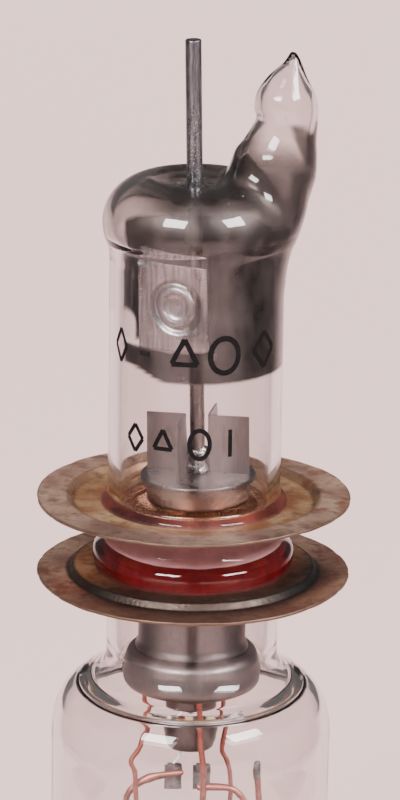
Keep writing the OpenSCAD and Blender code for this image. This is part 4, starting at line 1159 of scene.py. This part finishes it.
def add_gun():
    """Spins the electron gun's sleeve, cup and can, and finishes what is inside."""
    sheet = 0.25
    sleeve_top = high("gun_sleeve")
    flange = DISC_BORE + 0.4
    sleeve = rounded([(SLEEVE_R, CUP_TOP + 0.9), (SLEEVE_R, sleeve_top - sheet),
                      (flange, sleeve_top - sheet), (flange, sleeve_top), (SLEEVE_R - sheet, sleeve_top),
                      (SLEEVE_R - sheet, CUP_TOP), (SLEEVE_R + 0.3, CUP_TOP + 0.02),
                      (SLEEVE_R + 0.3, CUP_TOP + 0.3)], 0.25)
    add_piece("gun_sleeve_spun", *turned(sleeve, 128),
              nickel("sleeve_nickel", 0.5, (1, 1, 6), 0.36, stained=0.4), "nickel", "gun_sleeve")
    top_round, foot_round = 1.1, 1.4
    cup = [(SLEEVE_R - sheet, CUP_TOP)] + arc((CUP_R - top_round, CUP_TOP - top_round), top_round, 90, 0, 10)
    cup += arc((CUP_R - foot_round, CUP_FOOT + foot_round), foot_round, 0, -90, 12)
    cup += [(1.0, CUP_FOOT), (1.0, CUP_FOOT + sheet)]
    cup += arc((CUP_R - foot_round, CUP_FOOT + foot_round), foot_round - sheet, -90, 0, 10)
    cup += arc((CUP_R - top_round, CUP_TOP - top_round), top_round - sheet, 0, 90, 8)
    cup += [(SLEEVE_R - sheet, CUP_TOP - sheet)]
    add_piece("gun_cup_spun", *turned(cup, 160), nickel("gun_cup_nickel", 0.85, (1, 1, 10), 0.4,
                                                        (0.28, 0.16, 0.13), 0.5, 0.01), "nickel", "gun_cup")
    taper = CAN_FOOT + 1.3
    can = rounded([(CAN_R, CUP_FOOT), (CAN_R, taper + 1.2), (CAN_R - 0.1, taper),
                   (CAN_R - 0.35, CAN_FOOT + 0.4), (CAN_R - 0.75, CAN_FOOT), (1.3, CAN_FOOT),
                   (1.3, CAN_FOOT + sheet), (CAN_R - 0.85, CAN_FOOT + sheet),
                   (CAN_R - 0.6, CAN_FOOT + 0.6), (CAN_R - 0.35, taper), (CAN_R - 0.25, taper + 1.2),
                   (CAN_R - 0.25, CUP_FOOT)], 0.15)
    add_piece("gun_can_spun", *turned(can, 96), nickel("can_nickel", 0.6, (1, 1, 6), 0.38, stained=0.5),
              "nickel", "gun_can")
    for node in ("focus_ring", "cathode_sleeve", "getter_strap"):
        dress(node, nickel(node + "_nickel", 0.85))
    dress("cathode_cap", plain_surface("cathode_oxide", (0.8, 0.8, 0.77), (0.66, 0.66, 0.63), 0.5, 0.8,
                                       depth=0.04))
    dress("gun_insulator", plain_surface("gun_ceramic", (0.76, 0.74, 0.68), (0.7, 0.66, 0.58), 1.2, 0.6))
    dress("heater", plain_surface("heater_coating", (0.75, 0.75, 0.73), (0.6, 0.6, 0.58), 0.4, 0.8,
                                  depth=0.03))


# A lead's points are (x, y, height): x and y in gun-cup radii, height as a share of the drop to the press
CENTRE_LEAD = [(0.05, 0, 0), (0.12, -0.2, 0.14), (0.19, -0.46, 0.36), (0.2, -0.5, 0.55),
               (0.15, -0.5, 0.74), (0.12, -0.5, 0.92), (0.12, -0.5, 1)]
LEFT_LEAD = [(-0.42, 0, 0), (-0.7, -0.12, 0.12), (-0.79, -0.26, 0.32), (-0.82, -0.28, 0.5),
             (-0.88, -0.28, 0.58), (-0.76, -0.28, 0.66), (-0.69, -0.28, 0.76), (-0.62, -0.28, 0.82),
             (-0.69, -0.28, 0.92), (-0.69, -0.28, 1)]
RIGHT_LEAD = [(0.28, 0, 0), (0.52, 0.12, 0.12), (0.62, 0.32, 0.26), (0.62, 0.32, 0.4), (0.56, 0.32, 0.5),
              (0.48, 0.32, 0.58), (0.5, 0.32, 0.76), (0.49, 0.32, 1)]
LEFT_HOOK = [(-0.63, 0, 0), (-0.92, -0.04, 0.12), (-0.95, -0.12, 0.31), (-0.9, -0.14, 0.38),
             (-0.77, -0.14, 0.435), (-0.52, -0.14, 0.465), (-0.12, -0.14, 0.49)]
RIGHT_HOOK = [(0.45, 0, 0), (0.74, -0.04, 0.1), (0.83, -0.12, 0.24), (0.82, -0.14, 0.32),
              (0.74, -0.14, 0.375), (0.58, -0.14, 0.415), (0.13, -0.14, 0.415)]
STUB_LEAD = [(0.64, 0, 0), (0.96, -0.02, 0.14), (1.04, -0.05, 0.3), (1.02, -0.05, 0.42), (1.01, -0.05, 0.53)]


def add_leads():
    """Draws the copper-clad leads and folds the clips at their ends."""
    metal = settings("metal")
    copper = bright_copper("lead_copper_drawn", metal.lead, 0.34)
    drop = CUP_FOOT - PRESS_TOP
    for name, points, thickness in (
        ("centre_lead", CENTRE_LEAD, metal.thick_lead), ("left_lead", LEFT_LEAD, metal.thin_lead),
        ("right_lead", RIGHT_LEAD, metal.thin_lead), ("left_hook_lead", LEFT_HOOK, metal.thick_lead),
        ("right_hook_lead", RIGHT_HOOK, metal.thick_lead), ("stub_lead", STUB_LEAD, metal.thick_lead)
    ):
        route = spline([(CUP_R * x, CUP_R * y, PRESS_TOP + drop * t) for x, y, t in points], 9)
        root = route[:1] - [(0, 0, 3.5)]
        path = np.vstack([root, route])
        radii = thickness / 2 * (1 + 0.05 * np.sin(np.arange(len(path)) * 0.9))
        add_piece(name + "_drawn", *swept(path, radii, 16), copper, "lead_copper", name)
    stub_end = np.array([CUP_R * 1.01, -CUP_R * 0.05, PRESS_TOP + drop * 0.53])
    cap = swept([stub_end - (0.02, 0, 1.3), stub_end - (0.01, 0, 0.5), stub_end + (0, 0, 0.25)],
                np.array([0.37, 0.42, 0.34]), 16)
    dark = plain_surface("clip_dark", (0.2, 0.18, 0.17), (0.055, 0.045, 0.045), 0.7, 0.45, 0.9, 0.05)
    add_piece("stub_sleeve", *cap, dark, "clip_steel")
    clips = []
    for x in (-1.75, 1.2):
        z_values = np.linspace(low("heater_clips"), high("heater_clips"), 9)
        middle = (low("heater_clips", 1) + high("heater_clips", 1)) / 2
        plan = spline([(x - 0.9, middle - 0.24), (x + 0.55, middle - 0.26), (x + 0.85, middle),
                       (x + 0.55, middle + 0.24), (x - 0.6, middle + 0.22)], 5)
        relief = [0.04 * np.sin(np.linspace(0, 6, len(plan)) + 0.9 * k) for k in range(len(z_values))]
        clips.append(strip(plan, 0.12, z_values, relief))
    piece = add_piece("heater_clips_folded", *join(*clips), dark, "clip_steel", "heater_clips", sharp=30)
    soften(piece, 0.03)
    dress("pin_leads", bright_copper("pin_lead_copper", metal.copper, 0.3))


def add_base():
    """Moulds the base with its key, and sets the pins in it."""
    base = settings("base")
    shell_bore, floor = SHELL_R - 1.7, 2.2
    key_bore = KEY_R - 1.3
    shell = rounded([(key_bore, 0), (SHELL_R - 0.35, 0), (SHELL_R, 0.9), (SHELL_R, SHELL_TOP - 1.5),
                     (SHELL_R - 0.12, SHELL_TOP), (shell_bore, SHELL_TOP), (shell_bore, floor),
                     (key_bore, floor)], 0.45)
    sides = 192
    half, reach = base.rib_width / 2, KEY_R + base.rib_height

    def key_ring(height, inset):
        """The key's outline, a circle with a rib towards the front."""
        points = []
        for k in range(sides):
            angle = 2 * math.pi * k / sides
            x, y = math.cos(angle), math.sin(angle)
            rib = min(half / max(abs(x), 1e-6), reach / max(-y, 1e-6)) if y < 0 else 0
            radius = max(KEY_R, rib) - inset
            points.append((radius * x, radius * y, height))
        return points

    key = [key_ring(0.2, 0), key_ring(0, 0), key_ring(KEY_TIP + 1.0, 0), key_ring(KEY_TIP + 0.45, 0.15),
           key_ring(KEY_TIP + 0.12, 0.5), key_ring(KEY_TIP, 0.95), [(0, 0, KEY_TIP)]]
    phenolic = plain_surface("base_phenolic", base.phenolic, [2 * c for c in base.phenolic], 3.0, 0.3,
                             depth=0.012)
    add_piece("base_moulding", *join(turned(shell, sides), loft(key, caps=True)), phenolic, "phenolic",
              "base_shell", sharp=35)
    pin_r, circle = BASE_PINS["stud_r_mm"], BASE_PINS["pcd_mm"] / 2
    pins, tips = [], []
    first_pin = math.radians(22.5)
    for k in range(BASE_PINS["count"]):
        angle = first_pin + 2 * math.pi * k / BASE_PINS["count"]
        shift = np.array((circle * math.cos(angle), circle * math.sin(angle), 0))
        body = [(0, PIN_HEAD), (pin_r, PIN_HEAD), (pin_r, 0.1), (pin_r - 0.04, -0.1), (pin_r, -0.3),
                (pin_r, PIN_FOOT + 0.7), (pin_r - 0.12, PIN_FOOT), (0, PIN_FOOT)]
        points, faces = turned(body, 40, closed=False)
        pins.append((np.array(points) + shift, faces))
        drop = PIN_FOOT - SOLDER_FOOT
        blob_r, turns = pin_r - 0.14, np.linspace(0, 1.5, 8)
        blob = [(blob_r * math.cos(a), PIN_FOOT + 0.02 - drop * math.sin(a)) for a in turns]
        points, faces = turned(blob + [(0, SOLDER_FOOT)], 32, closed=False)
        tips.append((rumpled(np.array(points) + shift, 0.08, 0.9), faces))
    worn = [0.55 * c for c in base.plating]
    plating = plain_surface("pin_plating_worn", base.plating, worn, 1.5, 0.28, 1.0)
    add_piece("base_pins_plated", *join(*pins), plating, "pin_plating", "base_pins", sharp=35)
    solder = plain_surface("solder_grey", (0.55, 0.54, 0.52), (0.4, 0.39, 0.38), 0.6, 0.35, 1.0)
    add_piece("pin_solder_drops", *join(*tips), solder, "solder", "pin_solder")
    dress("base_cement", plain_surface("base_cement_buff", (0.45, 0.35, 0.22), (0.3, 0.22, 0.13), 0.8,
                                       0.85, depth=0.08))


def ink_black():
    """Dull black ink, a little uneven, with almost no shine."""
    finish = Finish("ink_black", specular_ior_level=0.08)
    grain = finish.noise(0.25, 4)
    finish.set("Base Color", finish.ranged(grain, 0.35, 0.65, (0.003, 0.0025, 0.003), (0.008, 0.007, 0.0075)))
    finish.set("Roughness", finish.number(grain, 0.3, 0.7, 0.75, 0.9))
    finish.bump(grain, 0.01)
    return finish.material


def add_marks():
    """Prints two rows of plain ink shapes on the upper glass: diamonds, triangles, rings and strokes."""
    ink = ink_black()
    radius = TUBE + 0.012
    strokes = []

    def stroke(points, width):
        """A line of ink on the glass, through (distance round, height) points."""
        points = np.array(points, float)
        run = np.gradient(points, axis=0)
        run /= np.linalg.norm(run, axis=1)[:, None]
        side = np.stack([-run[:, 1], run[:, 0]], axis=1) * width / 2
        rows = []
        for edge in (points + side, points - side):
            angles = edge[:, 0] / radius - math.pi / 2
            rows.append([(radius * math.cos(a), radius * math.sin(a), z) for a, z in zip(angles, edge[:, 1])])
        count = len(points)
        faces = [[k, k + 1, count + k + 1, count + k] for k in range(count - 1)]
        strokes.append((rows[0] + rows[1], faces))

    def ring(around, height, half_width, half_height, width):
        """An upright oval ring of ink."""
        turns = np.linspace(0, 2 * math.pi, 41)
        stroke([(around + half_width * math.cos(a), height + half_height * math.sin(a)) for a in turns],
               width)

    def outline(around, height, half_width, half_height, corners, width):
        """An upright many-sided outline of ink."""
        turns = math.pi / 2 + np.linspace(0, 2 * math.pi, corners + 1)
        corner = [(around + half_width * math.cos(a), height + half_height * math.sin(a)) for a in turns]
        for start, end in zip(corner, corner[1:]):
            stroke(np.linspace(start, end, 8), width)

    row_one, row_two = UPPER_SEAL + 17.6, UPPER_SEAL + 8.6
    outline(-8.7, row_one, 0.9, 1.7, 4, 0.42)
    stroke([(-5.9, row_one - 0.2), (-4.7, row_one - 0.2)], 0.5)
    outline(-1.1, row_one, 1.5, 1.7, 3, 0.5)
    ring(2.9, row_one, 1.45, 1.75, 0.55)
    outline(7.6, row_one, 1.4, 1.8, 4, 0.5)
    outline(-6.4, row_two, 0.95, 1.4, 4, 0.42)
    outline(-3.2, row_two, 1.1, 1.3, 3, 0.42)
    ring(0.5, row_two, 1.0, 1.45, 0.45)
    stroke([(3.6, row_two + 1.4), (3.6, row_two - 1.4)], 0.42)
    add_piece("ink_marks", *join(*strokes), ink, "smoky_glass", sharp=None)


# ---- Stage ----
def add_softbox(name, azimuth, elevation, distance, width, height, power, seen=True):
    """A soft area light that points at the tube; azimuth is from the camera's side, positive to the right."""
    lamp = bpy.data.lights.new(name, "AREA")
    lamp.shape = "RECTANGLE"
    lamp.size, lamp.size_y, lamp.energy = width, height, power
    light = bpy.data.objects.new(name, lamp)
    bpy.context.scene.collection.objects.link(light)
    way = Vector((math.sin(azimuth) * math.cos(elevation), -math.cos(azimuth) * math.cos(elevation),
                  math.sin(elevation)))
    light.location = Vector(settings("stage").aim) + distance * way
    light.rotation_euler = way.to_track_quat("Z", "Y").to_euler()
    light.visible_glossy = seen
    light.visible_transmission = seen
    return light


def card_felt(name, along, half_width, height):
    """Dark felt that thins out towards the card's sides and top."""
    finish = Finish(name, roughness=0.9)
    nap = finish.noise(6, 5)
    finish.set("Base Color", finish.ranged(nap, 0.35, 0.65, (0.1, 0.09, 0.09), (0.13, 0.118, 0.118)))
    finish.bump(nap, 0.02)
    sideways = finish.number(finish.sum("ABSOLUTE", finish.axis(along), 0.0), 0.35 * half_width,
                             half_width, 1, 0)
    upwards = finish.number(finish.axis("Z"), 0.5 * height, height + KEY_TIP * MM, 1, 0)
    finish.see_through(finish.sum("MULTIPLY", sideways, upwards))
    return finish.material


def add_card(name, azimuth, distance, width, height):
    """A dark card that only glass and metal see, to give them dark edges; azimuth is as for a softbox."""
    away = Vector((math.sin(azimuth), -math.cos(azimuth), 0))
    across = Vector((away.y, -away.x, 0)) * width / 2
    middle, foot = away * distance, Vector((0, 0, KEY_TIP * MM + 0.001))
    corners = [middle + across + foot, middle - across + foot]
    corners += [corner + Vector((0, 0, height)) for corner in corners[::-1]]
    mesh = bpy.data.meshes.new(name)
    mesh.from_pydata([tuple(corner) for corner in corners], [], [(0, 1, 2, 3)])
    mesh.materials.append(card_felt(name + "_felt", "Y" if abs(away.x) > 0.5 else "X", width / 2, height))
    card = bpy.data.objects.new(name, mesh)
    bpy.context.scene.collection.objects.link(card)
    card.visible_camera = False
    card.visible_diffuse = False
    card.visible_shadow = False


def add_stage():
    """Lays the floor, hangs the lights and sets the camera."""
    stage = settings("stage")
    half, foot = 2.5, KEY_TIP * MM
    mesh = bpy.data.meshes.new("floor")
    mesh.from_pydata([(-half, -half, foot), (half, -half, foot), (half, half, foot), (-half, half, foot)],
                     [], [(0, 1, 2, 3)])
    finish = Finish("floor_paper", roughness=0.75)
    cloud = finish.noise(260, 2)
    paper = finish.ranged(cloud, 0.3, 0.7, [0.985 * c for c in stage.floor], stage.floor)
    # Painted shade: the floor darkens to 0.76 of its colour under and in front of the tube, and clears by 0.6
    # m behind it.
    near_edge, far_edge = 0.05, 0.6
    near = finish.number(finish.axis("Y"), near_edge, far_edge, 1, 0)
    finish.set("Base Color", finish.mixed(near, paper, [0.76 * c for c in stage.floor]))
    finish.bump(finish.noise(0.6, 3), 0.01)
    mesh.materials.append(finish.material)
    floor = bpy.data.objects.new("floor", mesh)
    bpy.context.scene.collection.objects.link(floor)

    raised, away, wide, tall = math.radians(36), 0.75, 0.34, 0.24
    for name, azimuth in (("softbox_left", math.radians(-31)), ("softbox_right", math.radians(54))):
        add_softbox(name, azimuth, raised, away, wide, tall, stage.key_power)
    sheet = 1.6
    add_softbox("overhead", math.pi, math.radians(58), 1.5, sheet, sheet, stage.fill_power, seen=False)
    beside, wide, tall = 0.11, 0.26, 0.16
    add_card("card_left", -math.pi / 2, beside, wide, tall)
    add_card("card_right", math.pi / 2, beside, wide, tall)
    add_card("card_front", 0, 0.13, 0.05, 0.07)

    world = bpy.data.worlds.new("room")
    world.use_nodes = True
    sky = world.node_tree.nodes["Background"]
    sky.inputs["Color"].default_value = (0.95, 0.93, 0.94, 1)
    sky.inputs["Strength"].default_value = stage.sky
    bpy.context.scene.world = world

    lens = bpy.data.cameras.new("camera")
    lens.lens, lens.sensor_width = stage.lens, 36
    lens.clip_start, lens.clip_end = 0.01, 20
    camera = bpy.data.objects.new("camera", lens)
    bpy.context.scene.collection.objects.link(camera)
    way = Vector((0, -math.cos(stage.elevation), math.sin(stage.elevation)))
    turn = way.to_track_quat("Z", "Y").to_matrix().to_4x4() @ Matrix.Rotation(stage.roll, 4, "Z")
    camera.matrix_world = Matrix.Translation(Vector(stage.aim) + stage.distance * way) @ turn
    bpy.context.scene.camera = camera


# ---- Operators ----
class KLYSTRON_OT_stage(bpy.types.Operator):
    """Lay the floor, hang the lights and set the camera"""

    bl_idname = "klystron.stage"
    bl_label = "Stage"

    def execute(self, context):
        add_stage()
        return {"FINISHED"}


class KLYSTRON_OT_upper_glass(bpy.types.Operator):
    """Blow the upper glass with its exhaust tip and getter film"""

    bl_idname = "klystron.upper_glass"
    bl_label = "Upper Glass"

    def execute(self, context):
        add_upper_glass()
        return {"FINISHED"}


class KLYSTRON_OT_gap_glass(bpy.types.Operator):
    """Turn the glass between the discs"""

    bl_idname = "klystron.gap_glass"
    bl_label = "Gap Glass"

    def execute(self, context):
        add_gap_glass()
        return {"FINISHED"}


class KLYSTRON_OT_bulb(bpy.types.Operator):
    """Turn the neck and bulb as one vessel"""

    bl_idname = "klystron.bulb"
    bl_label = "Bulb"

    def execute(self, context):
        add_bulb()
        return {"FINISHED"}


class KLYSTRON_OT_stem(bpy.types.Operator):
    """Loft the glass stem and its press"""

    bl_idname = "klystron.stem"
    bl_label = "Stem"

    def execute(self, context):
        add_stem_glass()
        return {"FINISHED"}


class KLYSTRON_OT_reflector(bpy.types.Operator):
    """Make the reflector with its pin, stem and fins"""

    bl_idname = "klystron.reflector"
    bl_label = "Reflector"

    def execute(self, context):
        add_reflector()
        return {"FINISHED"}


class KLYSTRON_OT_getter(bpy.types.Operator):
    """Press the getter plate"""

    bl_idname = "klystron.getter"
    bl_label = "Getter"

    def execute(self, context):
        add_getter()
        return {"FINISHED"}


class KLYSTRON_OT_discs(bpy.types.Operator):
    """Press the two contact discs"""

    bl_idname = "klystron.discs"
    bl_label = "Contact Discs"

    def execute(self, context):
        add_discs()
        return {"FINISHED"}


class KLYSTRON_OT_grids(bpy.types.Operator):
    """Finish the grids and their copper cones"""

    bl_idname = "klystron.grids"
    bl_label = "Grids"

    def execute(self, context):
        add_grids()
        return {"FINISHED"}


class KLYSTRON_OT_gun(bpy.types.Operator):
    """Spin the electron gun's metalwork"""

    bl_idname = "klystron.gun"
    bl_label = "Electron Gun"

    def execute(self, context):
        add_gun()
        return {"FINISHED"}


class KLYSTRON_OT_leads(bpy.types.Operator):
    """Draw the leads and fold their clips"""

    bl_idname = "klystron.leads"
    bl_label = "Leads"

    def execute(self, context):
        add_leads()
        return {"FINISHED"}


class KLYSTRON_OT_base(bpy.types.Operator):
    """Mould the base and set its pins"""

    bl_idname = "klystron.base"
    bl_label = "Base"

    def execute(self, context):
        add_base()
        return {"FINISHED"}


class KLYSTRON_OT_marks(bpy.types.Operator):
    """Print plain ink shapes on the upper glass"""

    bl_idname = "klystron.marks"
    bl_label = "Ink Marks"

    def execute(self, context):
        add_marks()
        return {"FINISHED"}


OPERATORS = (
    KLYSTRON_OT_stage, KLYSTRON_OT_upper_glass, KLYSTRON_OT_gap_glass, KLYSTRON_OT_bulb, KLYSTRON_OT_stem,
    KLYSTRON_OT_reflector, KLYSTRON_OT_getter, KLYSTRON_OT_discs, KLYSTRON_OT_grids, KLYSTRON_OT_gun,
    KLYSTRON_OT_leads, KLYSTRON_OT_base, KLYSTRON_OT_marks,
)
GROUPS = {"glass": GlassSettings, "metal": MetalSettings, "base": BaseSettings, "stage": StageSettings}


class KLYSTRON_PT_panel(bpy.types.Panel):
    """Lists the tube's settings and pieces"""

    bl_label = "Klystron"
    bl_idname = "KLYSTRON_PT_panel"
    bl_space_type = "VIEW_3D"
    bl_region_type = "UI"
    bl_category = "Klystron"

    def draw(self, context):
        for group, kind in GROUPS.items():
            box = self.layout.box()
            box.label(text=group.title())
            for name in kind.__annotations__:
                box.prop(settings(group), name)
        for operator in OPERATORS:
            self.layout.operator(operator.bl_idname)


CLASSES = (*GROUPS.values(), *OPERATORS, KLYSTRON_PT_panel)


def register():
    for kind in CLASSES:
        bpy.utils.register_class(kind)
    for group, kind in GROUPS.items():
        setattr(bpy.types.Scene, "klystron_" + group, PointerProperty(type=kind))


def unregister():
    for group in GROUPS:
        delattr(bpy.types.Scene, "klystron_" + group)
    for kind in reversed(CLASSES):
        bpy.utils.unregister_class(kind)


def main():
    """Builds every piece in order."""
    register()
    for operator in OPERATORS:
        group, name = operator.bl_idname.split(".")
        getattr(getattr(bpy.ops, group), name)()


if __name__ == "__main__":
    main()
